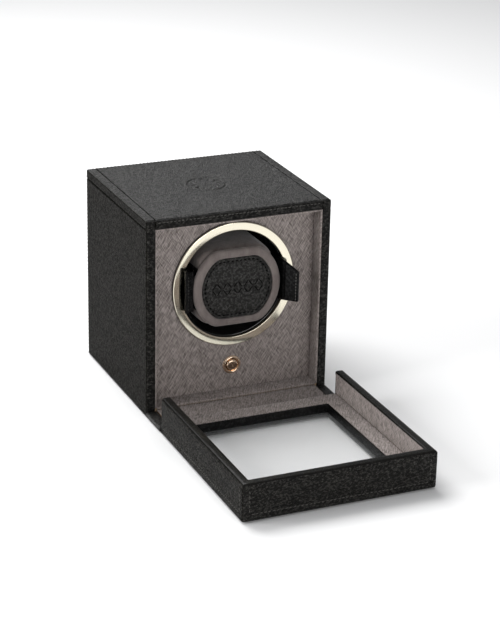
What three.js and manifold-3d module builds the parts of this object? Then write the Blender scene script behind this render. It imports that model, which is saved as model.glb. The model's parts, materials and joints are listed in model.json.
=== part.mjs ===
// Single watch winder box: a leather-covered case with a fold-down windowed lid, a belt-driven
// rotating drum behind a trim ring, and a removable watch cuff with two squeeze wings.
// Millimetres, +Z up. The front of the case faces -Y. The model stands with its lid folded down
// flat, and the origin is the middle of the footprint in that state, on the table.

import * as THREE from 'three';
import { mergeVertices } from 'three/addons/utils/BufferGeometryUtils.js';
import Module from 'manifold-3d';

const wasm = await Module();
wasm.setup();

// ---------------------------------------------------------------- driving dimensions

const CASE_WIDTH = 133;
const CASE_HEIGHT = 140;
const CASE_DEPTH = 119; // behind the case's front edge
const FOLD_Y = 25.4; // lid hinge axis, ahead of the case's front edge
const FOLD_Z = 1.5; // lid hinge axis, above the table
const LEATHER = 1;
const BASE_LEATHER = 0.8;
const FELT = 0.8;
const BOARD = 5;
const BASE_BOARD = 4;
const LINING = 1.2;
const GAP = 0.2; // glue line between layers
const RUN_GAP = 0.3; // clearance of pieces that move past each other

const PANEL_Y = 11.5; // fabric face of the front panel, behind the front edge
const DRUM_Z = 84.5; // drum axis height
const DRUM_INNER_R = 37.8;
const DRUM_WALL = 1.8;
const RING_OUTER_R = 44.2;
const RING_INNER_R = 38.2;
const BUTTON_Z = 25;
const BUTTON_R = 4.1;
const COLLAR_R = 6.6;

const LID_WALL_RISE = 25.1; // lid rim above the hinge axis, lid open
const LID_REACH = CASE_HEIGHT - FOLD_Z; // lid's far edge from the hinge axis, flush with the top
const LID_WALL_BOARD = 4.2;
const LID_FACE_BOARD = 5.5;
const LID_PAD = 3.3;
const WINDOW_HALF_WIDTH = 48.1;
const WINDOW_MARGIN = 13; // lining frame between the lid's hinge end and the window

const DRIVE_PLATE_Y = 80;
const PULLEY_Y = 88;
const DRUM_PULLEY_R = 25;
const MOTOR_PULLEY_R = 5;
const MOTOR_X = -44;
const MOTOR_Z = 119.5;
const CELL_LENGTH = 61.5; // one D cell
const CELL_DIAMETER = 34.2;

// ---------------------------------------------------------------- derived dimensions

const HALF = CASE_WIDTH / 2;
const BOARD_OUT = HALF - LEATHER - GAP;
const BOARD_IN = BOARD_OUT - BOARD;
const LINING_OUT = BOARD_IN - GAP;
const LINING_IN = LINING_OUT - LINING;
const BASE_TOP = FELT + BASE_LEATHER + GAP + BASE_BOARD; // top of the bottom board
const CAP_DROP = LEATHER + GAP + BOARD + GAP; // how far the top leather wraps down
const CAP_Z = CASE_HEIGHT - CAP_DROP;
const BOARD_Y0 = LEATHER + GAP;
const BOARD_Y1 = CASE_DEPTH - LEATHER - GAP;
const FABRIC = 0.6;
const PANEL_BOARD_Y = PANEL_Y + FABRIC + 0.1;
const PANEL_BOARD = 3;
const DRUM_OUTER_R = DRUM_INNER_R + DRUM_WALL;
const DRUM_FRONT_Y = PANEL_Y + 0.9;
const DRUM_DEPTH = 60;
const DRUM_FLOOR = 3;
const SHAFT_R = 3;
const DRIVE_PLATE = 4;
const PULLEY_WIDTH = 6;
const BELT_WIDTH = 3;
const BELT_THICK = 1.2;
const REAR_Y = 114.6;
const REAR_PANEL = 3;
const TOTAL_LENGTH = CASE_DEPTH + FOLD_Y + LID_REACH;
const FRONT_Y = (FOLD_Y + LID_REACH) - TOTAL_LENGTH / 2; // case's front edge from the origin

// ---------------------------------------------------------------- materials

function finish(color, roughness, metalness = 0) {
  return new THREE.MeshStandardMaterial({ color, roughness, metalness });
}

const LOOK = {
  leather: () => finish(0x1d1c1a, 0.55),
  smoothLeather: () => finish(0x161514, 0.45),
  board: () => finish(0x9c7b55, 0.9),
  taupe: () => finish(0x7a706c, 0.85),
  felt: () => finish(0x1b1b1c, 1),
  gold: () => finish(0xd8cda4, 0.2, 1),
  roseGold: () => finish(0xd9a986, 0.25, 1),
  blackPlastic: () => finish(0x131314, 0.35),
  whitePlastic: () => finish(0xd9d6cf, 0.5),
  steel: () => finish(0xb6b8ba, 0.3, 1),
  brass: () => finish(0xb79a56, 0.35, 1),
  rubber: () => finish(0x1f1f1f, 0.9),
  circuit: () => finish(0x24563a, 0.6),
  glass: () => new THREE.MeshStandardMaterial({
    color: 0xdfe3e2, roughness: 0.05, metalness: 0, transparent: true, opacity: 0.35,
  }),
};

// ---------------------------------------------------------------- geometry helpers

// A closed geometry as a solid that can be cut and joined.
function toSolid(geometry) {
  const bare = geometry.clone();
  bare.deleteAttribute('normal');
  bare.deleteAttribute('uv');
  const merged = mergeVertices(bare, 1e-4);
  return new wasm.Manifold(new wasm.Mesh({
    numProp: 3,
    vertProperties: new Float32Array(merged.attributes.position.array),
    triVerts: new Uint32Array(merged.index.array),
  }));
}

function toGeometry(solid) {
  const mesh = solid.getMesh();
  const geometry = new THREE.BufferGeometry();
  geometry.setAttribute('position', new THREE.BufferAttribute(new Float32Array(mesh.vertProperties), 3));
  geometry.setIndex(new THREE.BufferAttribute(new Uint32Array(mesh.triVerts), 1));
  return geometry;
}

function cut(geometry, ...tools) {
  return toGeometry(tools.reduce((left, tool) => left.subtract(toSolid(tool)), toSolid(geometry)));
}

function join(geometry, ...others) {
  return toGeometry(others.reduce((left, other) => left.add(toSolid(other)), toSolid(geometry)));
}

function common(geometry, other) {
  return toGeometry(toSolid(geometry).intersect(toSolid(other)));
}

// A rectangular block between two corners.
function block([x0, y0, z0], [x1, y1, z1]) {
  const geometry = new THREE.BoxGeometry(x1 - x0, y1 - y0, z1 - z0);
  geometry.translate((x0 + x1) / 2, (y0 + y1) / 2, (z0 + z1) / 2);
  return geometry;
}

// A turned piece about the Y axis. The profile is a closed loop of [radius, y] points.
function turned(profile, segments = 40) {
  let area = 0;
  profile.forEach(([r0, y0], i) => {
    const [r1, y1] = profile[(i + 1) % profile.length];
    area += r0 * y1 - r1 * y0;
  });
  const ordered = area > 0 ? profile : [...profile].reverse();
  const points = [...ordered, ordered[0]].map(([r, y]) => new THREE.Vector2(r, y));
  return new THREE.LatheGeometry(points, segments);
}

// A round rod or a tube about the Y axis.
function rod(radius, y0, y1, segments = 24) {
  const geometry = new THREE.CylinderGeometry(radius, radius, y1 - y0, segments);
  geometry.translate(0, (y0 + y1) / 2, 0);
  return geometry;
}

function tube(inner, outer, y0, y1, segments = 40) {
  return turned([[inner, y0], [outer, y0], [outer, y1], [inner, y1]], segments);
}

function rectangle(x0, z0, x1, z1) {
  const shape = new THREE.Shape();
  shape.moveTo(x0, z0);
  shape.lineTo(x1, z0);
  shape.lineTo(x1, z1);
  shape.lineTo(x0, z1);
  shape.closePath();
  return shape;
}

function circle(x, z, radius) {
  const path = new THREE.Path();
  path.absarc(x, z, radius, 0, Math.PI * 2, true);
  return path;
}

// An outline in the XZ plane made solid between two depths.
function slab(shape, y0, y1, curveSegments = 20) {
  const geometry = new THREE.ExtrudeGeometry(shape, {
    depth: y1 - y0, bevelEnabled: false, curveSegments,
  });
  geometry.rotateX(Math.PI / 2);
  geometry.translate(0, y1, 0);
  return geometry;
}

// An outline in the XY plane made solid between two heights.
function prism(shape, z0, z1, curveSegments = 12) {
  const geometry = new THREE.ExtrudeGeometry(shape, {
    depth: z1 - z0, bevelEnabled: false, curveSegments,
  });
  geometry.translate(0, 0, z0);
  return geometry;
}

function mirrored(geometry) {
  return toGeometry(toSolid(geometry).mirror([1, 0, 0]));
}

function piece(name, geometry, material) {
  const mesh = new THREE.Mesh(geometry, material);
  mesh.name = name;
  return mesh;
}

function groupOf(pieces, x = 0, y = 0, z = 0) {
  const group = new THREE.Group();
  group.add(...pieces);
  group.position.set(x, y, z);
  return group;
}

// ---------------------------------------------------------------- case: boards

const LEDGE_TOP = 4; // finished surface of the ledge, above the table
const LEDGE_BOARD = 1.2;

// The bottom board carries a thinner ledge ahead of the front edge, which ends at the hinge.
function bottomBoard() {
  const z0 = FELT + BASE_LEATHER + GAP;
  return join(
    block([-BOARD_OUT, BOARD_Y0, z0], [BOARD_OUT, BOARD_Y1, z0 + BASE_BOARD]),
    block([-BOARD_OUT, -FOLD_Y + 1.6, z0], [BOARD_OUT, BOARD_Y0 + 1, z0 + LEDGE_BOARD]),
  );
}

const MAGNET_X = 38;
const MAGNET_LENGTH = 14;
const MAGNET_WIDTH = 2.6;
const MAGNET_THICK = 2;
const CATCH_LENGTH = 2 * MAGNET_X + MAGNET_LENGTH;
const CATCH_THICK = 1;
const CATCH_Z = CASE_HEIGHT - LEATHER - GAP - BOARD / 2;

// The top board's front edge has a groove for the steel strip that the lid's magnets hold.
function topBoard() {
  const board = block([-BOARD_OUT, BOARD_Y0, CAP_Z + GAP],
    [BOARD_OUT, BOARD_Y1, CASE_HEIGHT - LEATHER - GAP]);
  const half = CATCH_LENGTH / 2 + RUN_GAP;
  const reach = MAGNET_WIDTH / 2 + RUN_GAP;
  return cut(board, block([-half, 0, CATCH_Z - reach],
    [half, BOARD_Y0 + CATCH_THICK + RUN_GAP, CATCH_Z + reach]));
}

function catchPlate() {
  return block([-CATCH_LENGTH / 2, BOARD_Y0, CATCH_Z - MAGNET_WIDTH / 2],
    [CATCH_LENGTH / 2, BOARD_Y0 + CATCH_THICK, CATCH_Z + MAGNET_WIDTH / 2]);
}

function caseBoards() {
  const side = () => block([-BOARD_OUT, BOARD_Y0, BASE_TOP + GAP], [-BOARD_IN, BOARD_Y1, CAP_Z]);
  return [
    piece('bottom_board', bottomBoard(), LOOK.board()),
    piece('top_board', topBoard(), LOOK.board()),
    piece('left_board', side(), LOOK.board()),
    piece('right_board', mirrored(side()), LOOK.board()),
    piece('catch_plate', catchPlate(), LOOK.steel()),
  ];
}

// ---------------------------------------------------------------- case: leather and felt

// The top leather is a shallow cap that wraps down the four edges to a seam.
function leatherTop() {
  const outer = block([-HALF, 0, CAP_Z + GAP / 2], [HALF, CASE_DEPTH, CASE_HEIGHT]);
  const inner = block([-HALF + LEATHER, LEATHER, CAP_Z - 1],
    [HALF - LEATHER, CASE_DEPTH - LEATHER, CASE_HEIGHT - LEATHER]);
  return cut(outer, inner);
}

// A side leather wraps round the front and rear edges of its board, and is notched where the
// ledge passes under it.
function leatherLeft() {
  const shape = new THREE.Shape();
  const wrap = -LINING_OUT - 0.1;
  shape.moveTo(-HALF, 0);
  shape.lineTo(wrap, 0);
  shape.lineTo(wrap, LEATHER);
  shape.lineTo(-HALF + LEATHER, LEATHER);
  shape.lineTo(-HALF + LEATHER, CASE_DEPTH - LEATHER);
  shape.lineTo(wrap, CASE_DEPTH - LEATHER);
  shape.lineTo(wrap, CASE_DEPTH);
  shape.lineTo(-HALF, CASE_DEPTH);
  shape.closePath();
  const skin = prism(shape, FELT + BASE_LEATHER + GAP, CAP_Z - GAP / 2);
  const ledge = block([-HALF + LEATHER, -1, 0], [0, BOARD_Y0 + 1 + GAP, LEDGE_TOP - 0.6]);
  return cut(skin, ledge);
}

const LEDGE_MARGIN = 6.5;
const LEDGE_FRONT = -FOLD_Y + 0.5;

// The base leather covers the underside and turns up round the ledge's front and side edges.
function leatherBase() {
  const sheet = block([-HALF, LEDGE_FRONT, FELT], [HALF, CASE_DEPTH, FELT + BASE_LEATHER]);
  const rim = block([-HALF, LEDGE_FRONT, FELT], [HALF, -GAP, LEDGE_TOP]);
  const core = block([-BOARD_OUT - GAP, LEDGE_FRONT + LEATHER, FELT + BASE_LEATHER],
    [BOARD_OUT + GAP, 1, LEDGE_TOP - 0.7]);
  const opening = block([-HALF + LEDGE_MARGIN, LEDGE_FRONT + 2, FELT + BASE_LEATHER],
    [HALF - LEDGE_MARGIN, 1, LEDGE_TOP + 1]);
  return join(sheet, cut(rim, core, opening));
}

function baseFelt() {
  const inset = 3;
  return block([-HALF + inset, LEDGE_FRONT + inset, 0], [HALF - inset, CASE_DEPTH - inset, FELT]);
}

function caseCovers() {
  return [
    piece('leather_top', leatherTop(), LOOK.leather()),
    piece('leather_left', leatherLeft(), LOOK.leather()),
    piece('leather_right', mirrored(leatherLeft()), LOOK.leather()),
    piece('leather_base', leatherBase(), LOOK.leather()),
    piece('base_felt', baseFelt(), LOOK.felt()),
  ];
}

// ---------------------------------------------------------------- case: lining

// The bottom lining covers the recess floor, turns down at the front edge and runs on along the
// ledge to the hinge.
function liningBottom() {
  const z0 = BASE_TOP + GAP;
  const ledgeZ = LEDGE_TOP - 0.8;
  const shape = new THREE.Shape();
  const outline = [
    [PANEL_Y - 0.1, z0], [PANEL_Y - 0.1, z0 + LINING], [0.1, z0 + LINING], [0.1, LEDGE_TOP],
    [LEDGE_FRONT + 2.2, LEDGE_TOP], [LEDGE_FRONT + 2.2, ledgeZ], [BOARD_Y0 - GAP, ledgeZ],
    [BOARD_Y0 - GAP, z0],
  ];
  outline.forEach(([y, z], i) => (i ? shape.lineTo(z, y) : shape.moveTo(z, y)));
  shape.closePath();
  const width = 2 * LINING_IN - 0.2;
  const geometry = new THREE.ExtrudeGeometry(shape, { depth: width, bevelEnabled: false });
  geometry.rotateY(-Math.PI / 2);
  geometry.translate(width / 2, 0, 0);
  return geometry;
}

function caseLinings() {
  const y0 = 0.2;
  const y1 = PANEL_Y - 0.1;
  const z0 = BASE_TOP + GAP;
  const side = () => block([-LINING_OUT, y0, z0], [-LINING_IN, y1, CAP_Z - GAP]);
  const top = block([-LINING_IN + 0.1, y0, CAP_Z - GAP - LINING], [LINING_IN - 0.1, y1, CAP_Z - GAP]);
  return [
    piece('lining_left', side(), LOOK.taupe()),
    piece('lining_right', mirrored(side()), LOOK.taupe()),
    piece('lining_top', top, LOOK.taupe()),
    piece('lining_bottom', liningBottom(), LOOK.taupe()),
  ];
}

// ---------------------------------------------------------------- front panel, ring and button

const COLLAR_SLEEVE_R = 5.4;

// The front panel and its fabric share one pair of holes, for the drum and for the button.
function pierced(halfWidth, z0, z1, y0, y1) {
  const shape = rectangle(-halfWidth, z0, halfWidth, z1);
  shape.holes.push(circle(0, DRUM_Z, DRUM_OUTER_R + 1.6));
  shape.holes.push(circle(0, BUTTON_Z, COLLAR_SLEEVE_R + 0.2));
  return slab(shape, y0, y1, 16);
}

// A raised ring: a wide bevel down to the opening, a narrow one outside the crest, and a sleeve
// that locates it in the hole.
function trimRing() {
  const back = PANEL_Y - 0.1;
  const sleeveR = DRUM_OUTER_R + 1.3;
  const profile = [
    [RING_INNER_R, back - 2.3], [RING_OUTER_R - 0.6, back - 2.5], [RING_OUTER_R, back - 1.9],
    [RING_OUTER_R, back], [sleeveR, back], [sleeveR, PANEL_Y + 3], [sleeveR - 0.7, PANEL_Y + 3],
    [sleeveR - 0.7, PANEL_Y + 0.5], [RING_INNER_R, PANEL_Y + 0.5],
  ];
  return turned(profile, 48);
}

function buttonCollar() {
  const back = PANEL_Y - 0.1;
  const bore = BUTTON_R + 0.25;
  const profile = [
    [bore, back - 0.8], [COLLAR_R - 1, back - 1.3], [COLLAR_R, back - 0.6], [COLLAR_R, back],
    [COLLAR_SLEEVE_R, back], [COLLAR_SLEEVE_R, back + 5], [bore, back + 5],
  ];
  return turned(profile, 28);
}

const SWITCH_Y = 22;
const BUTTON_TRAVEL = 1.2;

function buttonCap() {
  const face = PANEL_Y - 2.2;
  const skirt = BUTTON_R - 0.05;
  const stemEnd = SWITCH_Y - RUN_GAP - BUTTON_TRAVEL;
  const profile = [
    [0, face], [BUTTON_R - 0.7, face], [skirt, face + 0.6], [skirt, face + 6], [1.6, face + 6],
    [1.6, stemEnd], [0, stemEnd],
  ];
  return turned(profile, 28);
}

function frontPieces() {
  const panelTop = CAP_Z - GAP;
  const panelBottom = BASE_TOP + GAP;
  const skin = pierced(LINING_OUT, panelBottom, panelTop, PANEL_Y, PANEL_Y + FABRIC);
  const board = pierced(LINING_OUT, panelBottom, panelTop, PANEL_BOARD_Y, PANEL_BOARD_Y + PANEL_BOARD);
  return [
    piece('front_panel', board, LOOK.board()),
    piece('front_fabric', skin, LOOK.taupe()),
  ];
}

// ---------------------------------------------------------------- drive

const POST_R = 3.5;
const POSTS = [[-54, 58], [54, 58], [54, 126], [-20, 128.5]]; // clear of the drum and the motor

// One moulding: the plate behind the drum with four posts that reach the front panel.
function driveFrame() {
  const plate = rectangle(-LINING_OUT, 50, LINING_OUT, CAP_Z - GAP);
  plate.holes.push(circle(0, DRUM_Z, 6.2));
  plate.holes.push(circle(MOTOR_X, MOTOR_Z, 4));
  const posts = POSTS.map(([x, z]) => {
    const post = rod(POST_R, PANEL_BOARD_Y + PANEL_BOARD + 0.1, DRIVE_PLATE_Y + 1, 12);
    post.translate(x, 0, z);
    return post;
  });
  return join(slab(plate, DRIVE_PLATE_Y, DRIVE_PLATE_Y + DRIVE_PLATE, 10), ...posts);
}

function bearingBush() {
  const y0 = DRIVE_PLATE_Y - 1.4;
  const profile = [
    [SHAFT_R + 0.08, y0], [8, y0], [8, DRIVE_PLATE_Y - 0.1], [6, DRIVE_PLATE_Y - 0.1],
    [6, DRIVE_PLATE_Y + DRIVE_PLATE + 1], [SHAFT_R + 0.08, DRIVE_PLATE_Y + DRIVE_PLATE + 1],
  ];
  return turned(profile, 24);
}

// Motor can with its gearbox, bolted to the front of the drive plate.
function motorBody() {
  const profile = [
    [0, 54], [5, 54], [5, 56], [11, 56], [11, 68], [12.5, 68], [12.5, DRIVE_PLATE_Y - 0.2],
    [1.8, DRIVE_PLATE_Y - 0.2], [1.8, 72], [0, 72],
  ];
  return turned(profile, 20);
}

function pulley(radius, boreR, segments) {
  const half = PULLEY_WIDTH / 2;
  const groove = BELT_WIDTH / 2 + 0.5;
  const bottom = radius - 0.4;
  const profile = [
    [boreR, -half], [radius + 1.6, -half], [radius + 1.6, -groove], [bottom, -groove],
    [bottom, groove], [radius + 1.6, groove], [radius + 1.6, half], [boreR, half],
  ];
  const geometry = turned(profile, segments);
  geometry.translate(0, PULLEY_Y + half, 0);
  return geometry;
}

// Outline of a flat belt's inner or outer face round the two pulleys, drum pulley at the origin.
function beltOutline(path, spread) {
  const span = Math.hypot(MOTOR_X, MOTOR_Z - DRUM_Z);
  const heading = Math.atan2(MOTOR_Z - DRUM_Z, MOTOR_X);
  const wrap = Math.acos((DRUM_PULLEY_R - MOTOR_PULLEY_R) / span);
  path.absarc(0, 0, DRUM_PULLEY_R + spread, heading + wrap, heading - wrap + 2 * Math.PI, false);
  path.absarc(MOTOR_X, MOTOR_Z - DRUM_Z, MOTOR_PULLEY_R + spread, heading - wrap, heading + wrap, false);
  path.closePath();
  return path;
}

function driveBelt() {
  const shape = beltOutline(new THREE.Shape(), BELT_THICK);
  shape.holes.push(beltOutline(new THREE.Path(), 0));
  const middle = PULLEY_Y + PULLEY_WIDTH / 2;
  const geometry = slab(shape, middle - BELT_WIDTH / 2, middle + BELT_WIDTH / 2, 16);
  geometry.translate(0, 0, DRUM_Z);
  return geometry;
}

function controlBoard() {
  const y0 = SWITCH_Y + 4;
  return block([-24, y0, 9], [24, y0 + 1.6, 40]);
}

function tactSwitch() {
  const y1 = SWITCH_Y + 3.8;
  return join(
    block([-3, SWITCH_Y + 0.6, BUTTON_Z - 3], [3, y1, BUTTON_Z + 3]),
    rod(1.7, SWITCH_Y, SWITCH_Y + 1, 16).translate(0, 0, BUTTON_Z),
  );
}

function drivePieces() {
  const bush = bearingBush().translate(0, 0, DRUM_Z);
  const motor = motorBody().translate(MOTOR_X, 0, MOTOR_Z);
  return [
    piece('drive_frame', driveFrame(), LOOK.blackPlastic()),
    piece('bearing_bush', bush, LOOK.brass()),
    piece('motor', motor, LOOK.steel()),
    piece('drive_belt', driveBelt(), LOOK.rubber()),
    piece('control_board', controlBoard(), LOOK.circuit()),
    piece('tact_switch', tactSwitch(), LOOK.blackPlastic()),
  ];
}

// ---------------------------------------------------------------- rear: panel, power and battery

const DOOR_HALF_WIDTH = 38;
const DOOR_Z0 = 8;
const DOOR_Z1 = 48;
const DOOR_THICK = 2;
const JACK_X = 34;
const JACK_Z = 64; // above the battery door
const JACK_HOLE_R = 5.6;
const SCREW_X = 55;
const SCREW_Z = [13, 126];
const SCREW_SHANK_R = 1.5;
const CLEAT_Y0 = 96;

function rearPanel() {
  const shape = rectangle(-BOARD_IN + GAP, BASE_TOP + GAP, BOARD_IN - GAP, CAP_Z - GAP);
  shape.holes.push(new THREE.Path(rectangle(
    -DOOR_HALF_WIDTH - RUN_GAP, DOOR_Z0 - RUN_GAP, DOOR_HALF_WIDTH + RUN_GAP, DOOR_Z1 + RUN_GAP,
  ).getPoints()));
  shape.holes.push(circle(JACK_X, JACK_Z, JACK_HOLE_R + 0.2));
  [-SCREW_X, SCREW_X].forEach((x) => SCREW_Z.forEach((z) => {
    shape.holes.push(circle(x, z, SCREW_SHANK_R + 0.3));
  }));
  return slab(shape, REAR_Y, REAR_Y + REAR_PANEL, 6);
}

// A cleat glued inside each side board, with pilot holes for the rear screws.
function rearCleat() {
  const cleat = block([-LINING_OUT, CLEAT_Y0, BASE_TOP + GAP], [-SCREW_X + 4, REAR_Y - 0.1, CAP_Z - GAP]);
  const pilots = SCREW_Z.map((z) => rod(SCREW_SHANK_R + 0.1, REAR_Y - 9, REAR_Y, 10).translate(-SCREW_X, 0, z));
  return cut(cleat, ...pilots);
}

function rearScrew(x, z) {
  const face = REAR_Y + REAR_PANEL + 0.1;
  const profile = [
    [0, REAR_Y - 8], [SCREW_SHANK_R, REAR_Y - 7], [SCREW_SHANK_R, face], [3, face],
    [2.4, face + 1.1], [0, face + 1.1],
  ];
  return turned(profile, 16).translate(x, 0, z);
}

// Barrel jack: a round nose in the panel, a square body behind it and a pin in the socket.
function powerJack() {
  const mouth = REAR_Y + REAR_PANEL + 0.6;
  const nose = rod(JACK_HOLE_R, REAR_Y - 2, mouth, 24);
  const body = block([-7, REAR_Y - 12, -6], [7, REAR_Y - 0.2, 6]);
  const socket = rod(3.2, REAR_Y - 8, mouth + 1, 20);
  const pin = rod(1, REAR_Y - 9, mouth - 1, 10);
  return join(cut(join(nose, body), socket), pin).translate(JACK_X, 0, JACK_Z);
}

const TRAY_WALL = 2;
const TRAY_HALF = CELL_LENGTH / 2 + 4.5;
const TRAY_DEPTH = CELL_DIAMETER + 1.2;
const TRAY_Z0 = 8.4;
const TRAY_HEIGHT = CELL_DIAMETER + 1.4;

// The battery tray is open to the rear, behind the door.
function batteryTray() {
  const y1 = REAR_Y - 0.2;
  const y0 = y1 - TRAY_DEPTH - TRAY_WALL;
  const z1 = TRAY_Z0 + TRAY_HEIGHT;
  const outer = block([-TRAY_HALF - TRAY_WALL, y0, TRAY_Z0 - 1.8], [TRAY_HALF + TRAY_WALL, y1, z1 + TRAY_WALL]);
  const inner = block([-TRAY_HALF, y0 + TRAY_WALL, TRAY_Z0], [TRAY_HALF, y1 + 1, z1]);
  return cut(outer, inner);
}

function contactPlate() {
  const middleY = REAR_Y - TRAY_DEPTH / 2;
  const middleZ = TRAY_Z0 + TRAY_HEIGHT / 2;
  return block([TRAY_HALF - 0.8, middleY - 9, middleZ - 9], [TRAY_HALF - 0.1, middleY + 9, middleZ + 9]);
}

// A conical coil spring of round wire, closed at both ends.
class ConeSpiral extends THREE.Curve {
  getPoint(t) {
    const turns = 3.5;
    const radius = 9 - 4.5 * t;
    const angle = turns * 2 * Math.PI * t;
    return new THREE.Vector3(6 * t, radius * Math.cos(angle), radius * Math.sin(angle));
  }
}

function contactSpring() {
  const wire = new THREE.Shape();
  wire.absarc(0, 0, 0.5, 0, Math.PI * 2, false);
  const geometry = new THREE.ExtrudeGeometry(wire, {
    steps: 42, extrudePath: new ConeSpiral(), curveSegments: 3,
  });
  return geometry.translate(-TRAY_HALF + 0.8, REAR_Y - TRAY_DEPTH / 2, TRAY_Z0 + TRAY_HEIGHT / 2);
}

// The door turns about its lower outer edge and has a finger notch at the top.
function batteryDoor() {
  const leaf = block([-DOOR_HALF_WIDTH, -DOOR_THICK, 0], [DOOR_HALF_WIDTH, 0, DOOR_Z1 - DOOR_Z0]);
  const notch = rod(7, -0.9, 1, 24).translate(0, 0, DOOR_Z1 - DOOR_Z0 + 1);
  return cut(leaf, notch);
}

function rearPieces() {
  const screws = [];
  [-SCREW_X, SCREW_X].forEach((x, side) => SCREW_Z.forEach((z, level) => {
    const name = `rear_screw_${['lower', 'upper'][level]}_${['left', 'right'][side]}`;
    screws.push(piece(name, rearScrew(x, z), LOOK.steel()));
  }));
  return [
    piece('rear_panel', rearPanel(), LOOK.blackPlastic()),
    piece('rear_cleat_left', rearCleat(), LOOK.board()),
    piece('rear_cleat_right', mirrored(rearCleat()), LOOK.board()),
    ...screws,
    piece('power_jack', powerJack(), LOOK.blackPlastic()),
    piece('battery_tray', batteryTray(), LOOK.blackPlastic()),
    piece('contact_plate', contactPlate(), LOOK.steel()),
    piece('contact_spring', contactSpring(), LOOK.steel()),
  ];
}

// ---------------------------------------------------------------- lid, about its hinge axis

// In the lid's own frame the hinge axis is X through the origin, the open lid reaches along -Y
// and its walls rise along +Z.
const LID_UNDER = 1 - FOLD_Z;
const LID_SKIN_TOP = LID_UNDER + BASE_LEATHER;
const LID_BOARD_Z0 = LID_SKIN_TOP + GAP;
const LID_BOARD_Z1 = LID_BOARD_Z0 + LID_FACE_BOARD;
const LID_PAD_Z0 = LID_BOARD_Z1 + GAP;
const LID_PAD_Z1 = LID_PAD_Z0 + LID_PAD;
const LID_NEAR = -2.8; // hinge end of the walls
const LID_FAR = -LID_REACH;
const WALL_OUT = HALF - LEATHER - GAP;
const WALL_IN = WALL_OUT - LID_WALL_BOARD;
const RIM_IN = WALL_IN - LEATHER;
const LID_LINE_OUT = WALL_IN - 0.1;
const WALL_TOP = LID_WALL_RISE - LEATHER - GAP;
const WALL_NEAR = LID_NEAR - LEATHER - GAP;
const WALL_FAR = LID_FAR + LEATHER + GAP;
const INNER_FAR = WALL_FAR + LID_WALL_BOARD; // inner face of the end wall
const WINDOW_NEAR = WALL_NEAR - WINDOW_MARGIN;
const WINDOW_FAR = INNER_FAR + WINDOW_MARGIN - 1;
const GLASS_LAP = 3;
const GLASS = 2;

// A flat frame with the window cut out, grown or shrunk by an allowance all round.
function windowed(halfWidth, near, far, z0, z1, allowance) {
  const plate = block([-halfWidth, far, z0], [halfWidth, near, z1]);
  const grow = WINDOW_HALF_WIDTH + allowance;
  return cut(plate, block([-grow, WINDOW_FAR - allowance, z0 - 1], [grow, WINDOW_NEAR + allowance, z1 + 1]));
}

function lidFaceBoard() {
  const board = windowed(WALL_OUT, WALL_NEAR, WALL_FAR, LID_BOARD_Z0, LID_BOARD_Z1, 0.2);
  const lap = GLASS_LAP + RUN_GAP;
  const rebate = block([-WINDOW_HALF_WIDTH - lap, WINDOW_FAR - lap, LID_BOARD_Z0 - 1],
    [WINDOW_HALF_WIDTH + lap, WINDOW_NEAR + lap, LID_BOARD_Z0 + GLASS + GAP]);
  return cut(board, rebate);
}

function lidGlass() {
  return block([-WINDOW_HALF_WIDTH - GLASS_LAP, WINDOW_FAR - GLASS_LAP, LID_BOARD_Z0],
    [WINDOW_HALF_WIDTH + GLASS_LAP, WINDOW_NEAR + GLASS_LAP, LID_BOARD_Z0 + GLASS]);
}

// The face leather runs on past the walls to the hinge line as the flexible hinge strip.
function lidFaceLeather() {
  return windowed(HALF, 0.1, LID_FAR, LID_UNDER, LID_SKIN_TOP, -0.8);
}

// One strip of leather round three walls, turned over the rim and round the two hinge ends.
function lidBandLeather() {
  const outer = block([-HALF, LID_FAR, LID_BOARD_Z0], [HALF, LID_NEAR, LID_WALL_RISE]);
  const core = block([-HALF + LEATHER, LID_FAR + LEATHER, LID_BOARD_Z0 - 1],
    [HALF - LEATHER, LID_NEAR - LEATHER, LID_WALL_RISE - LEATHER]);
  const inside = block([-RIM_IN, INNER_FAR + LEATHER, LID_BOARD_Z0 - 1],
    [RIM_IN, LID_NEAR + 1, LID_WALL_RISE + 1]);
  return cut(outer, core, inside);
}

function lidSideWall() {
  return block([-WALL_OUT, WALL_FAR, LID_PAD_Z0], [-WALL_IN, WALL_NEAR, WALL_TOP]);
}

const MAGNET_Y = (WALL_FAR + INNER_FAR) / 2;

function magnetAt(x, slack) {
  const half = MAGNET_LENGTH / 2 + slack;
  const reach = MAGNET_WIDTH / 2 + slack;
  return block([x - half, MAGNET_Y - reach, WALL_TOP - MAGNET_THICK - slack],
    [x + half, MAGNET_Y + reach, WALL_TOP + (slack ? 1 : 0)]);
}

function lidEndWall() {
  const wall = block([-WALL_IN + GAP, WALL_FAR, LID_PAD_Z0], [WALL_IN - GAP, INNER_FAR, WALL_TOP]);
  return cut(wall, magnetAt(-MAGNET_X, RUN_GAP), magnetAt(MAGNET_X, RUN_GAP));
}

function lidWallLining() {
  const z0 = LID_PAD_Z1 + GAP;
  const outer = block([-LID_LINE_OUT, INNER_FAR + 0.1, z0], [LID_LINE_OUT, WALL_NEAR, WALL_TOP]);
  const inner = block([-LID_LINE_OUT + 1, INNER_FAR + 1.1, z0 - 1], [LID_LINE_OUT - 1, 0, WALL_TOP + 1]);
  return cut(outer, inner);
}

function lidLiningFrame() {
  return windowed(LID_LINE_OUT, WALL_NEAR, INNER_FAR + 0.1, LID_PAD_Z0, LID_PAD_Z1, 0);
}

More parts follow.
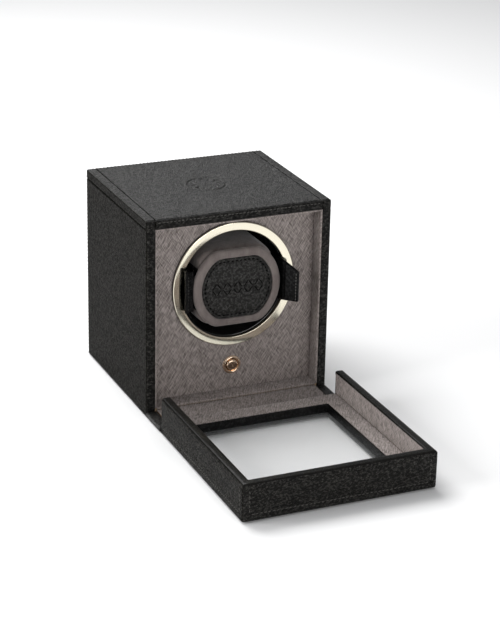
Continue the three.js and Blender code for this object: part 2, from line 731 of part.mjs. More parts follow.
function lidPieces() {
  return [
    piece('lid_face_leather', lidFaceLeather(), LOOK.leather()),
    piece('lid_band_leather', lidBandLeather(), LOOK.leather()),
    piece('lid_face_board', lidFaceBoard(), LOOK.board()),
    piece('lid_wall_left', lidSideWall(), LOOK.board()),
    piece('lid_wall_right', mirrored(lidSideWall()), LOOK.board()),
    piece('lid_wall_end', lidEndWall(), LOOK.board()),
    piece('lid_lining_frame', lidLiningFrame(), LOOK.taupe()),
    piece('lid_lining_walls', lidWallLining(), LOOK.taupe()),
    piece('lid_glass', lidGlass(), LOOK.glass()),
    piece('magnet_left', magnetAt(-MAGNET_X, 0), LOOK.steel()),
    piece('magnet_right', magnetAt(MAGNET_X, 0), LOOK.steel()),
  ];
}

// ---------------------------------------------------------------- drum, about its own axis

const DRUM_BACK_Y = DRUM_FRONT_Y + DRUM_DEPTH;
const HUB_R = 9;
const SHAFT_BORE_R = SHAFT_R + 0.1;
const SHAFT_END_Y = 100;
const CLIP_Y = PULLEY_Y + PULLEY_WIDTH + 0.4;

// A plain cup, open to the front, with a hub on its back that takes the shaft.
function drumCup() {
  const floorY = DRUM_BACK_Y - DRUM_FLOOR;
  const hubEnd = DRIVE_PLATE_Y - 1.4 - 0.4;
  const profile = [
    [DRUM_INNER_R, DRUM_FRONT_Y], [DRUM_OUTER_R, DRUM_FRONT_Y], [DRUM_OUTER_R, DRUM_BACK_Y],
    [HUB_R, DRUM_BACK_Y], [HUB_R, hubEnd], [SHAFT_BORE_R, hubEnd], [SHAFT_BORE_R, floorY],
    [DRUM_INNER_R, floorY],
  ];
  return turned(profile, 48);
}

function drumShaft() {
  const floorY = DRUM_BACK_Y - DRUM_FLOOR;
  const profile = [
    [0, floorY - 1.5], [5.5, floorY - 1.5], [5.5, floorY - 0.1], [SHAFT_R, floorY - 0.1],
    [SHAFT_R, CLIP_Y], [SHAFT_R - 0.6, CLIP_Y], [SHAFT_R - 0.6, CLIP_Y + 1.2],
    [SHAFT_R, CLIP_Y + 1.2], [SHAFT_R, SHAFT_END_Y], [0, SHAFT_END_Y],
  ];
  return turned(profile, 24);
}

// A snap ring in the shaft's groove, open on one side.
function shaftClip() {
  const ring = tube(SHAFT_R - 0.4, SHAFT_R + 2.5, CLIP_Y + 0.2, CLIP_Y + 1, 24);
  return cut(ring, block([-1.6, CLIP_Y - 1, 0], [1.6, CLIP_Y + 2, 8]));
}

function drumPieces() {
  return [
    piece('drum_cup', drumCup(), LOOK.blackPlastic()),
    piece('drum_shaft', drumShaft(), LOOK.steel()),
    piece('drum_pulley', pulley(DRUM_PULLEY_R, SHAFT_BORE_R, 32), LOOK.whitePlastic()),
    piece('shaft_clip', shaftClip(), LOOK.steel()),
  ];
}

function motorRotorPieces() {
  const shaft = rod(1.5, 72.4, PULLEY_Y + PULLEY_WIDTH + 1, 14);
  return [
    piece('motor_shaft', shaft, LOOK.steel()),
    piece('motor_pulley', pulley(MOTOR_PULLEY_R, 1.6, 18), LOOK.whitePlastic()),
  ];
}

// ---------------------------------------------------------------- cuff and wings, about the drum axis

const PLATE_FRONT_Y = 2.5;
const PLATE_R = 31.7;
const PLATE_HALF_HEIGHT = 27;
const PLATE_THICK = 4;
const INSET_R = 25.4;
const INSET_HALF_HEIGHT = 21.2;
const INSET_THICK = 1.4;
const BODY_R = 34.6;
const BODY_HALF_HEIGHT = 27.2;
const BODY_BACK_Y = 58;
const WAIST_X = 27; // half width where the wings fold against the body
const WING_ROOT_Y = 32;
const WING_THICK = 2.4;
const WING_HALF_HEIGHT = 15;
// A wing's middle line in plan, from its root forward, and its side view as (y, z) corners. The right
// wing flares out past the ring, cut lower above than below; the left one is tucked in at the plate.
const FLARED_WING = {
  line: [[-30.5, 32], [-31.6, 22], [-32.6, 13], [-34.2, 7.5], [-38.2, 1.5], [-42, -4]],
  tip: [[8, 15], [-5, 7.6], [-5, -14], [6, -15]],
};
const TUCKED_WING = {
  line: [[-30.5, 32], [-31.3, 22], [-32.2, 14.5], [-33.4, 10], [-35.2, 6.5], [-36.6, 4]],
  tip: [[8, 15], [3, 13.5], [3, -14], [6, -15]],
};

// A disc with its top and bottom cut flat.
function flattedDisc(radius, halfHeight) {
  const shape = new THREE.Shape();
  const corner = Math.asin(halfHeight / radius);
  shape.absarc(0, 0, radius, -corner, corner, false);
  shape.absarc(0, 0, radius, Math.PI - corner, Math.PI + corner, false);
  shape.closePath();
  return shape;
}

// The padded front plate has a shallow pocket for the leather inset.
function cuffPlate() {
  const plate = slab(flattedDisc(PLATE_R, PLATE_HALF_HEIGHT), PLATE_FRONT_Y, PLATE_FRONT_Y + PLATE_THICK);
  const pocket = flattedDisc(INSET_R + RUN_GAP, INSET_HALF_HEIGHT + RUN_GAP);
  return cut(plate, slab(pocket, PLATE_FRONT_Y - 1, PLATE_FRONT_Y + INSET_THICK + 0.7));
}

function cuffInset() {
  const y0 = PLATE_FRONT_Y + 0.5;
  return slab(flattedDisc(INSET_R, INSET_HALF_HEIGHT), y0, y0 + INSET_THICK);
}

// The body is full width at the back and narrower ahead of the wing roots, so that each wing has
// room to fold in. A slot in each side holds the wing's root.
function cuffBody() {
  const front = PLATE_FRONT_Y + PLATE_THICK + 0.2;
  const barrel = slab(flattedDisc(BODY_R, BODY_HALF_HEIGHT), front, BODY_BACK_Y, 18);
  const plan = new THREE.Shape();
  const shoulder = WING_ROOT_Y + 3;
  const rearHalf = 33;
  const outline = [
    [-WAIST_X, 0], [WAIST_X, 0], [WAIST_X, shoulder], [rearHalf, shoulder + 3],
    [rearHalf, BODY_BACK_Y - 6], [rearHalf - 7, BODY_BACK_Y + 1], [7 - rearHalf, BODY_BACK_Y + 1],
    [-rearHalf, BODY_BACK_Y - 6], [-rearHalf, shoulder + 3], [-WAIST_X, shoulder],
  ];
  outline.forEach(([x, y], i) => (i ? plan.lineTo(x, y) : plan.moveTo(x, y)));
  plan.closePath();
  const waist = prism(plan, -BODY_HALF_HEIGHT - 1, BODY_HALF_HEIGHT + 1);
  return common(barrel, waist);
}

// A wing is a bent leaf: it runs forward beside the body, through the ring.
function wing({ line, tip }) {
  const middle = new THREE.SplineCurve(line.map(([x, y]) => new THREE.Vector2(x, y)));
  const steps = 12;
  const sides = [[], []];
  for (let i = 0; i <= steps; i += 1) {
    const point = middle.getPoint(i / steps);
    const along = middle.getTangent(i / steps);
    const across = new THREE.Vector2(-along.y, along.x).multiplyScalar(WING_THICK / 2);
    sides[0].push(point.clone().add(across));
    sides[1].push(point.clone().sub(across));
  }
  const shape = new THREE.Shape([...sides[0], ...sides[1].reverse()]);
  const leaf = prism(shape, -WING_HALF_HEIGHT, WING_HALF_HEIGHT);
  const side = new THREE.Shape();
  const root = WING_ROOT_Y + 3;
  const outline = [[root, -WING_HALF_HEIGHT], [root, WING_HALF_HEIGHT], ...tip];
  outline.forEach(([y, z], i) => (i ? side.lineTo(z, y) : side.moveTo(z, y)));
  side.closePath();
  const taper = new THREE.ExtrudeGeometry(side, { depth: 40, bevelEnabled: false });
  taper.rotateY(-Math.PI / 2);
  taper.translate(-10, 0, 0);
  return common(leaf, taper);
}

function cuffPieces() {
  return [
    piece('cuff_body', cuffBody(), LOOK.taupe()),
    piece('cuff_plate', cuffPlate(), LOOK.taupe()),
    piece('cuff_inset', cuffInset(), LOOK.leather()),
    piece('wing_left', wing(TUCKED_WING), LOOK.smoothLeather()),
    piece('wing_right', mirrored(wing(FLARED_WING)), LOOK.smoothLeather()),
  ];
}

// ---------------------------------------------------------------- assembly

const caseGroup = groupOf([
  ...caseBoards(),
  ...caseCovers(),
  ...caseLinings(),
  ...frontPieces(),
  ...drivePieces(),
  ...rearPieces(),
]);
const ringGroup = groupOf([piece('trim_ring', trimRing(), LOOK.gold())], 0, 0, DRUM_Z);
const buttonGroup = groupOf([
  piece('button_collar', buttonCollar(), LOOK.roseGold()),
  piece('button', buttonCap(), LOOK.roseGold()),
], 0, 0, BUTTON_Z);
const drumGroup = groupOf([...drumPieces(), ...cuffPieces()], 0, 0, DRUM_Z);
const rotorGroup = groupOf(motorRotorPieces(), MOTOR_X, 0, MOTOR_Z);
const lidGroup = groupOf(lidPieces(), 0, -FOLD_Y, FOLD_Z);
const doorGroup = groupOf([piece('battery_door', batteryDoor(), LOOK.blackPlastic())],
  0, REAR_Y + REAR_PANEL, DOOR_Z0);

const winder = groupOf([
  caseGroup, ringGroup, buttonGroup, drumGroup, rotorGroup, lidGroup, doorGroup,
], 0, FRONT_Y, 0);

export default winder;
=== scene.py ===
"""Looks for the watch winder box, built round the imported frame.

Shapes are worked out in millimetres in the row frame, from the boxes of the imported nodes, and
written to Blender in metres. x is across, -y is the front, z is up; the lid lies open on the floor.
"""

import json
import math

import bmesh
import bpy
import numpy as np
from mathutils import Matrix, Vector
from mathutils.geometry import delaunay_2d_cdt


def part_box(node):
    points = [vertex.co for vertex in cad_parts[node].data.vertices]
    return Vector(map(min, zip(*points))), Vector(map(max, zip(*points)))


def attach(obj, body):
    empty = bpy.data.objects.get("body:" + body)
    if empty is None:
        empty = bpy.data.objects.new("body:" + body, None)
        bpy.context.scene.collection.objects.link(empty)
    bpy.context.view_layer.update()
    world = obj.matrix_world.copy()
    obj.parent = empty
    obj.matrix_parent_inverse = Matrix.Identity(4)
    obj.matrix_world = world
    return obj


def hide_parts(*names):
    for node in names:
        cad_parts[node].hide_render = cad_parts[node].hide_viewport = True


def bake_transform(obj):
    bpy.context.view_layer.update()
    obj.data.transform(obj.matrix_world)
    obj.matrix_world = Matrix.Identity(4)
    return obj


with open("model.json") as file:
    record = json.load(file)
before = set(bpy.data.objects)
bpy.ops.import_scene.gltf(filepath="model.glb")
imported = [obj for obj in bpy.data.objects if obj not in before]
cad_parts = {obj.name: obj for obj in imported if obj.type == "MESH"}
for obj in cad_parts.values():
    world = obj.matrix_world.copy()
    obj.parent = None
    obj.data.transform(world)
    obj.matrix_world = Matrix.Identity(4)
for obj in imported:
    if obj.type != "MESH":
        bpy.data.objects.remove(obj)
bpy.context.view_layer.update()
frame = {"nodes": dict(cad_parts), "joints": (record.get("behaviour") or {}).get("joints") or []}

MM = 0.001
NODES = frame["nodes"]
SIDES = (("left", -1), ("right", 1))


def box_mm(node):
    """Lowest and highest corner of a node, in millimetres."""
    low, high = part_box(node)
    return np.array(low) / MM, np.array(high) / MM


# ------------------------------------------------------------------ sizes taken from the frame

case_low, case_high = box_mm("leather_top")
HALF = case_high[0]
FRONT = case_low[1]
BACK = case_high[1]
TOP = case_high[2]
RIM = box_mm("leather_left")[1][0] + HALF  # width of the black edge round the recess
base_low, base_high = box_mm("leather_base")
BASE = base_low[2]
LEDGE_FRONT = base_low[1]
LEDGE_TOP = base_high[2]
SIDE_FOOT = box_mm("leather_left")[0][2]

band_low, band_high = box_mm("lid_band_leather")
LID_FAR = band_low[1]
LID_NEAR = band_high[1]
LID_TOP = band_high[2]
LID_FOOT = band_low[2]
LID_UNDER = box_mm("lid_face_leather")[0][2]
pad_low, pad_high = box_mm("lid_lining_frame")
glass_low, glass_high = box_mm("lid_glass")
GLASS_LAP = 3.0
WINDOW_LOW = glass_low + GLASS_LAP
WINDOW_HIGH = glass_high - GLASS_LAP

ring_low, ring_high = box_mm("trim_ring")
DRUM_Z = (ring_low[2] + ring_high[2]) / 2
RING_R = (ring_high[2] - ring_low[2]) / 2
PANEL_Y = box_mm("front_fabric")[0][1]
CUP_R = (box_mm("drum_cup")[1][2] - box_mm("drum_cup")[0][2]) / 2
BUTTON_Z = (box_mm("button")[0][2] + box_mm("button")[1][2]) / 2

LID_HINGE = np.array(next(j for j in frame["joints"] if j["name"] == "lid_fold")["pos_m"]) / MM


# ------------------------------------------------------------------ material graphs


class Graph:
    """A material's node tree, with short ways to add and link nodes."""

    def __init__(self, name):
        self.material = bpy.data.materials.new(name)
        self.material.use_nodes = True
        self.tree = self.material.node_tree
        self.shader = self.tree.nodes["Principled BSDF"]

    def node(self, kind, **settings):
        made = self.tree.nodes.new(kind)
        for key, value in settings.items():
            setattr(made, key, value)
        return made

    def link(self, output, target):
        self.tree.links.new(output, target)

    def put(self, socket, value):
        if isinstance(value, bpy.types.NodeSocket):
            self.link(value, socket)
        else:
            socket.default_value = value

    def set(self, **values):
        """Constant values on the shader's own sockets."""
        for key, value in values.items():
            self.shader.inputs[key.replace("_", " ")].default_value = value

    def drive(self, name, output):
        self.link(output, self.shader.inputs[name])

    def coordinates(self, kind="Object"):
        return self.node("ShaderNodeTexCoord").outputs[kind]

    def moved(self, vector, scale=(1, 1, 1), rotation=(0, 0, 0)):
        made = self.node("ShaderNodeMapping")
        self.link(vector, made.inputs["Vector"])
        made.inputs["Scale"].default_value = scale
        made.inputs["Rotation"].default_value = rotation
        return made.outputs["Vector"]

    def noise(self, vector, scale, detail=2.0, roughness=0.5, distortion=0.0):
        made = self.node("ShaderNodeTexNoise")
        self.link(vector, made.inputs["Vector"])
        made.inputs["Scale"].default_value = scale
        made.inputs["Detail"].default_value = detail
        made.inputs["Roughness"].default_value = roughness
        made.inputs["Distortion"].default_value = distortion
        return made.outputs["Fac"]

    def cells(self, vector, scale, feature="DISTANCE_TO_EDGE", randomness=1.0):
        made = self.node("ShaderNodeTexVoronoi", feature=feature)
        self.link(vector, made.inputs["Vector"])
        made.inputs["Scale"].default_value = scale
        made.inputs["Randomness"].default_value = randomness
        return made.outputs["Distance"]

    def math(self, operation, a, b=0.0, clamp=False):
        made = self.node("ShaderNodeMath", operation=operation, use_clamp=clamp)
        self.put(made.inputs[0], a)
        self.put(made.inputs[1], b)
        return made.outputs[0]

    def span(self, value, low, high, to_low, to_high):
        made = self.node("ShaderNodeMapRange")
        self.put(made.inputs["Value"], value)
        for name, limit in (("From Min", low), ("From Max", high), ("To Min", to_low), ("To Max", to_high)):
            made.inputs[name].default_value = limit
        return made.outputs["Result"]

    def weigh(self, a, share_a, b, share_b, clamp=False):
        """Two values, each times its share, added up."""
        first = self.math("MULTIPLY", a, share_a)
        return self.math("ADD", first, self.math("MULTIPLY", b, share_b), clamp)

    def blend(self, factor, a, b):
        made = self.node("ShaderNodeMix", data_type="RGBA")
        self.put(made.inputs["Factor"], factor)
        self.put(made.inputs["A"], a)
        self.put(made.inputs["B"], b)
        return made.outputs["Result"]

    def bump(self, height, distance, strength=1.0, under=None):
        made = self.node("ShaderNodeBump")
        made.inputs["Strength"].default_value = strength
        made.inputs["Distance"].default_value = distance * MM
        self.link(height, made.inputs["Height"])
        if under is not None:
            self.link(under, made.inputs["Normal"])
        return made.outputs["Normal"]


def rgb(red, green, blue):
    return (red, green, blue, 1.0)


def leather(name, dark, light, cell, depth, rough, gloss=0.5, slant=0.0, highlight_and_gloss_cut=0.46, smooth_up=False):
    """Grained leather: rounded pebbles parted by creases, fine pores and a slow change of shade.

    The higher pebbles are glossier, and lighter as a painted highlight; the dark creases between them are
    painted shade.
    A lower threshold puts the painted highlight and the gloss on more of them.
    smooth_up keeps faces that look upward plain, like a burnished rim, and dulls those that look sideways:
    painted shade on the sideways faces.
    """
    g = Graph(name)
    place = g.moved(g.coordinates(), scale=(1, 1, 1.0 + slant), rotation=(0, slant, 0))
    bend = g.node("ShaderNodeTexNoise")
    g.link(place, bend.inputs["Vector"])
    bend.inputs["Scale"].default_value = 0.45 / (cell * MM)
    shifted = g.node("ShaderNodeVectorMath", operation="MULTIPLY_ADD")
    g.link(bend.outputs["Color"], shifted.inputs[0])
    shifted.inputs[1].default_value = (0.9 * cell * MM,) * 3
    g.link(place, shifted.inputs[2])
    edges = g.cells(shifted.outputs[0], 1 / (cell * MM))
    pebble = g.math("POWER", g.math("MULTIPLY", edges, 2.6, clamp=True), 0.7)
    lumps = g.noise(place, 560, 1, 0.5)
    pores = g.noise(place, 4200, 2, 0.6)
    height = g.weigh(pebble, 0.62, lumps, 1.3)
    height = g.math("ADD", height, g.math("MULTIPLY", pores, 0.12))
    cloud = g.noise(place, 34, 3, 0.6)
    # crests are the pebble tops: in the colour below they take a painted highlight, and they get more gloss;
    # the creases, left at zero, are painted shade.
    crests = g.math("MULTIPLY", pebble, g.span(lumps, highlight_and_gloss_cut, highlight_and_gloss_cut + 0.14, 0.0, 1.0))
    if smooth_up:
        facing = g.node("ShaderNodeSeparateXYZ")
        g.link(g.coordinates("Normal"), facing.inputs[0])
        grained = g.math("LESS_THAN", facing.outputs["Z"], 0.6)
        crests = g.math("MULTIPLY", crests, g.span(grained, 0.0, 1.0, 0.10, 1.0))
        height = g.math("MULTIPLY", height, g.span(grained, 0.0, 1.0, 0.12, 1.0))
    # The colour: random tone from the cloud, plus the painted highlight on the crests.
    tone = g.weigh(cloud, 0.15, crests, 0.85, True)
    g.drive("Base Color", g.blend(tone, dark, light))
    g.drive("Roughness", g.span(pores, 0.3, 0.7, rough - 0.07, rough + 0.09))
    shine = g.span(crests, 0.0, 1.0, gloss * 0.45, gloss * 1.6)
    if smooth_up:
        # Dulling the gloss on faces that look sideways paints shade on them.
        sideways = g.math("GREATER_THAN", g.math("ABSOLUTE", facing.outputs["X"]), 0.6)
        shine = g.math("MULTIPLY", shine, g.span(sideways, 0.0, 1.0, 1.0, 0.12))
    g.drive("Specular IOR Level", shine)
    g.drive("Normal", g.bump(height, depth))
    return g.material


def face_coordinates(g):
    """Coordinates in the plane of whichever way a flat face looks, as (across, along, 0)."""
    where = g.node("ShaderNodeSeparateXYZ")
    g.link(g.coordinates(), where.inputs[0])
    facing = g.node("ShaderNodeSeparateXYZ")
    g.link(g.coordinates("Normal"), facing.inputs[0])
    looks_x = g.math("GREATER_THAN", g.math("ABSOLUTE", facing.outputs["X"]), 0.7)
    looks_z = g.math("GREATER_THAN", g.math("ABSOLUTE", facing.outputs["Z"]), 0.7)

    def choose(switch, when_off, when_on):
        kept = g.math("MULTIPLY", when_off, g.math("SUBTRACT", 1.0, switch))
        return g.math("ADD", kept, g.math("MULTIPLY", when_on, switch))

    across = choose(looks_x, where.outputs["X"], where.outputs["Y"])
    along = choose(looks_z, where.outputs["Z"], where.outputs["Y"])
    joined = g.node("ShaderNodeCombineXYZ")
    g.link(across, joined.inputs["X"])
    g.link(along, joined.inputs["Y"])
    return joined.outputs[0]


def cross_cloth(name, dark, light, rough=0.62):
    """Coated cloth embossed with fine crossing strokes, a strong set and a weaker one."""
    g = Graph(name)
    flat = face_coordinates(g)

    def strokes(angle, width, length, detail):
        # A rotated, stretched noise: short strokes that lie along one direction.
        turned = g.moved(flat, rotation=(0, 0, math.radians(angle)))
        drawn = g.moved(turned, scale=(1 / (length * MM), 1 / (width * MM), 1))
        return g.noise(drawn, 1.0, detail, 0.6)

    strong = strokes(-58, 0.62, 8, 1)
    weak = strokes(54, 0.58, 7, 1)
    fine = strokes(-61, 0.24, 3.4, 1)
    cross = strokes(51, 0.22, 3.0, 1)
    patch = g.noise(flat, 45, 2)
    coarse = g.weigh(strong, 0.58, weak, 0.42)
    threads = g.weigh(fine, 0.55, cross, 0.45)
    mixed = g.weigh(coarse, 0.62, threads, 0.38)
    tone = g.math("ADD", g.span(mixed, 0.42, 0.58, 0.0, 0.9), g.math("MULTIPLY", patch, 0.1), clamp=True)
    g.drive("Base Color", g.blend(tone, dark, light))
    g.drive("Roughness", g.span(mixed, 0.4, 0.6, rough + 0.08, rough - 0.08))
    g.drive("Normal", g.bump(mixed, 0.22, 0.9))
    g.set(Specular_IOR_Level=0.35, Sheen_Weight=0.12, Sheen_Roughness=0.5)
    return g.material


def suede(name, dark, light):
    """Microsuede: a short nap with soft streaks where it has been brushed."""
    g = Graph(name)
    place = g.coordinates()
    nap = g.noise(place, 3800, 3, 0.7)
    brushed = g.noise(g.moved(place, scale=(1, 1, 0.35)), 160, 3, 0.6, 0.6)
    tone = g.weigh(nap, 0.5, brushed, 0.5, True)
    g.drive("Base Color", g.blend(g.span(tone, 0.36, 0.64, 0.0, 1.0), dark, light))
    g.drive("Roughness", g.span(nap, 0.3, 0.7, 0.86, 0.97))
    g.drive("Normal", g.bump(nap, 0.10, 0.8, g.bump(brushed, 0.2, 0.4)))
    g.set(Specular_IOR_Level=0.2, Sheen_Weight=0.35, Sheen_Roughness=0.4)
    return g.material


def metal(name, base, rough, brushed=0.0):
    """Plated or bare metal with faint polishing marks, and slightly uneven gloss."""
    g = Graph(name)
    place = g.moved(g.coordinates())
    marks = g.noise(place, 1500, 3, 0.6)
    smear = g.noise(place, 60, 3, 0.6)
    warm = tuple(min(1.0, c * 1.04) for c in base)
    g.drive("Base Color", g.blend(smear, rgb(*base), rgb(*warm)))
    spread = g.weigh(smear, 0.6, marks, 0.4)
    g.drive("Roughness", g.span(spread, 0.3, 0.7, rough * 0.75, rough * 1.35))
    g.drive("Normal", g.bump(marks, 0.01 + brushed, 0.5))
    g.set(Metallic=1.0)
    return g.material


def plastic(name, base, rough, grain=0.02, grain_size=0.35, coat=0.0):
    """Moulded plastic with a spark-eroded texture and faint flow marks."""
    g = Graph(name)
    place = g.coordinates()
    texture = g.noise(place, 1 / (grain_size * MM), 2, 0.6)
    flow = g.noise(place, 25, 3, 0.6)
    light = tuple(c * 1.35 + 0.002 for c in base)
    g.drive("Base Color", g.blend(flow, rgb(*base), rgb(*light)))
    g.drive("Roughness", g.span(flow, 0.3, 0.7, rough * 0.9, rough * 1.15))
    g.drive("Normal", g.bump(texture, grain, 0.6))
    g.set(Coat_Weight=coat, Coat_Roughness=0.08)
    return g.material


def fibreboard(name, dark, light):
    """Pressed fibreboard: short fibres that lie along y, and cloudy patches."""
    g = Graph(name)
    place = g.coordinates()
    fibres = g.noise(g.moved(place, scale=(1, 0.3, 1)), 1400, 4, 0.7)
    cloud = g.noise(place, 60, 3)
    tone = g.weigh(fibres, 0.6, cloud, 0.4, True)
    g.drive("Base Color", g.blend(tone, dark, light))
    g.drive("Normal", g.bump(fibres, 0.08, 0.6))
    g.set(Roughness=0.9)
    return g.material


def felt(name, dark, light):
    """Pressed felt: tangled fibres with no direction."""
    g = Graph(name)
    place = g.coordinates()
    fibres = g.noise(place, 2600, 4, 0.8, 1.5)
    g.drive("Base Color", g.blend(fibres, dark, light))
    g.drive("Roughness", g.span(fibres, 0.3, 0.7, 0.92, 1.0))
    g.drive("Normal", g.bump(fibres, 0.2, 0.8))
    g.set(Sheen_Weight=0.3)
    return g.material


def thread(name, dark, light, rough=0.5, gloss=0.5):
    """Twisted sewing thread."""
    g = Graph(name)
    place = g.coordinates()
    strands = g.noise(place, 4200, 2, 0.5)
    g.drive("Base Color", g.blend(g.span(strands, 0.35, 0.65, 0, 1), dark, light))
    g.drive("Roughness", g.span(strands, 0.3, 0.7, rough, rough + 0.18))
    g.drive("Normal", g.bump(strands, 0.06, 0.8))
    g.set(Specular_IOR_Level=gloss)
    return g.material


def clear_glass(name):
    """Thin pane: mostly see-through, with a clear surface reflection and a faint cool tint."""
    g = Graph(name)
    smear = g.noise(g.coordinates(), 30, 3, 0.6)
    g.drive("Base Color", g.blend(smear, rgb(0.78, 0.80, 0.80), rgb(0.84, 0.86, 0.86)))
    g.drive("Roughness", g.span(smear, 0.3, 0.7, 0.03, 0.06))
    g.set(Alpha=0.11, IOR=1.5, Specular_IOR_Level=0.4)
    return g.material


LOOKS = {
    # In each leather the light colour is the painted highlight on the pebble tops, and the dark one is
    # painted shade in the creases.
    "black_leather": leather("black_leather", rgb(0.0070, 0.0066, 0.0060), rgb(0.031, 0.0295, 0.0265),
            cell=1.15, depth=0.42, rough=0.36, gloss=0.42, highlight_and_gloss_cut=0.40),
    # A darker, almost glossless copy of the black leather, for the case's sides: painted shade.
    "shaded_side_leather": leather("shaded_side_leather", rgb(0.0030, 0.0028, 0.0024), rgb(0.022, 0.0205, 0.0175),
            cell=1.15, depth=0.42, rough=0.50, gloss=0.03, highlight_and_gloss_cut=0.42),
    "coarse_leather": leather("coarse_leather", rgb(0.0014, 0.0013, 0.0011), rgb(0.056, 0.053, 0.046),
            cell=1.35, depth=0.75, rough=0.30, gloss=0.28, slant=0.45, highlight_and_gloss_cut=0.47, smooth_up=True),
    "inset_leather": leather("inset_leather", rgb(0.0060, 0.0058, 0.0052), rgb(0.046, 0.044, 0.040),
            cell=0.95, depth=0.26, rough=0.38, gloss=0.34, highlight_and_gloss_cut=0.44),
    "wing_leather": leather("wing_leather", rgb(0.0018, 0.0018, 0.0018), rgb(0.0055, 0.0055, 0.0055),
            cell=0.8, depth=0.05, rough=0.27, gloss=0.20),
    "taupe_lining": cross_cloth("taupe_lining", rgb(0.075, 0.060, 0.055), rgb(0.390, 0.340, 0.318)),
    "cuff_suede": suede("cuff_suede", rgb(0.105, 0.086, 0.080), rgb(0.215, 0.185, 0.174)),
    "champagne_metal": metal("champagne_metal", (0.90, 0.845, 0.69), 0.10),
    "rose_metal": metal("rose_metal", (0.93, 0.71, 0.52), 0.12),
    "gloss_black_plastic": plastic("gloss_black_plastic", (0.006, 0.006, 0.006), 0.16, grain=0.004,
                                   grain_size=0.8, coat=0.5),
    "matte_black_plastic": plastic("matte_black_plastic", (0.014, 0.014, 0.015), 0.46, grain=0.03),
    "white_plastic": plastic("white_plastic", (0.66, 0.64, 0.58), 0.4),
    "steel": metal("steel", (0.58, 0.59, 0.60), 0.28, brushed=0.01),
    "bush_brass": metal("bush_brass", (0.60, 0.45, 0.20), 0.35, brushed=0.02),
    "belt_rubber": plastic("belt_rubber", (0.016, 0.016, 0.016), 0.8, grain=0.05, grain_size=0.2),
    "circuit_board": plastic("circuit_board", (0.02, 0.12, 0.05), 0.4, grain=0.02, grain_size=0.5,
                             coat=0.2),
    "window_glass": clear_glass("window_glass"),
    "board": fibreboard("board", rgb(0.26, 0.17, 0.10), rgb(0.50, 0.37, 0.24)),
    # The lid's board is blackened, because its rebate shows through the edge of the glass.
    "black_board": fibreboard("black_board", rgb(0.008, 0.008, 0.008), rgb(0.018, 0.017, 0.016)),
    "base_felt": felt("base_felt", rgb(0.006, 0.006, 0.007), rgb(0.018, 0.018, 0.019)),
    "thread": thread("thread", rgb(0.040, 0.038, 0.035), rgb(0.130, 0.125, 0.115)),
    # Near-black thread: for the cuff's stitches, and for the cords that paint shade along the case's pressed
    # lines.
    "dark_thread": thread("dark_thread", rgb(0.0006, 0.0006, 0.0006), rgb(0.0022, 0.0022, 0.0022),
                          rough=0.8, gloss=0.02),
}


# ------------------------------------------------------------------ mesh helpers


def build(name, vertices, faces, look, body, replaces=(), sharp=40):
    """A mesh object from millimetre vertices, with outward faces, finished and riding on a body."""
    mesh = bpy.data.meshes.new(name)
    mesh.from_pydata((np.asarray(vertices, float) * MM).tolist(), [], [list(f) for f in faces])
    work = bmesh.new()
    work.from_mesh(mesh)
    bmesh.ops.remove_doubles(work, verts=work.verts, dist=1e-7)
    bmesh.ops.recalc_face_normals(work, faces=work.faces)
    work.to_mesh(mesh)
    work.free()
    for polygon in mesh.polygons:
        polygon.use_smooth = True
    mesh.set_sharp_from_angle(angle=math.radians(sharp))
    made = bpy.data.objects.new(name, mesh)
    bpy.context.scene.collection.objects.link(made)
    dress(made, look)
    if body:
        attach(made, body)
    if replaces:
        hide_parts(*replaces)
    return made


def dress(made, look):
    made.data.materials.clear()
    made.data.materials.append(LOOKS[look])


PLANES = {  # side: (u axis, v axis, normal axis, normal sign)
    "top": (0, 1, 2, 1),
    "under": (0, 1, 2, -1),
    "left": (1, 2, 0, -1),
    "right": (1, 2, 0, 1),
    "front": (0, 2, 1, -1),
    "back": (0, 2, 1, 1),
}


def on_plane(side, level, u, v, w):
    """Points from plane coordinates: w stands out of the surface at that level."""
    a, b, c, sign = PLANES[side]
    u, v, w = np.broadcast_arrays(np.asarray(u, float), np.asarray(v, float), np.asarray(w, float))
    points = np.zeros(u.shape + (3,))
    points[..., a] = u
    points[..., b] = v
    points[..., c] = level + sign * w
    return points


def samples(low, high, edge, lines, step):
    """Grid lines: close together round the rounded edges and each groove, wide apart elsewhere."""
    marks = set(np.linspace(low, high, max(2, int((high - low) / step) + 1)))
    for k in range(1, 6):
        inset = edge * (1 - math.cos(k * math.pi / 10))
        marks.update((low + inset, high - inset))
    for position, reach in lines:
        marks.update(position + reach * t for t in (-1, -0.6, -0.25, 0, 0.25, 0.6, 1))
    kept = []
    for mark in sorted(m for m in marks if low - 1e-9 <= m <= high + 1e-9):
        if not kept or mark - kept[-1] > 0.02:
            kept.append(mark)
    kept[-1] = high
    return np.array(kept)


def edge_drop(distance, radius):
    """How far a quarter-round edge falls away at a distance from the side."""
    reach = np.clip(radius - distance, 0, radius)
    return radius - np.sqrt(np.maximum(radius**2 - reach**2, 0))


def groove_drop(across, along, depth, half_width, start, end):
    """A soft-sided groove along a straight line."""
    across = np.clip(np.abs(across) / half_width, 0, 1)
    ends = np.clip(np.minimum(along - start, end - along) / half_width + 1, 0, 1)
    return depth * (0.5 + 0.5 * np.cos(np.pi * across)) * ends


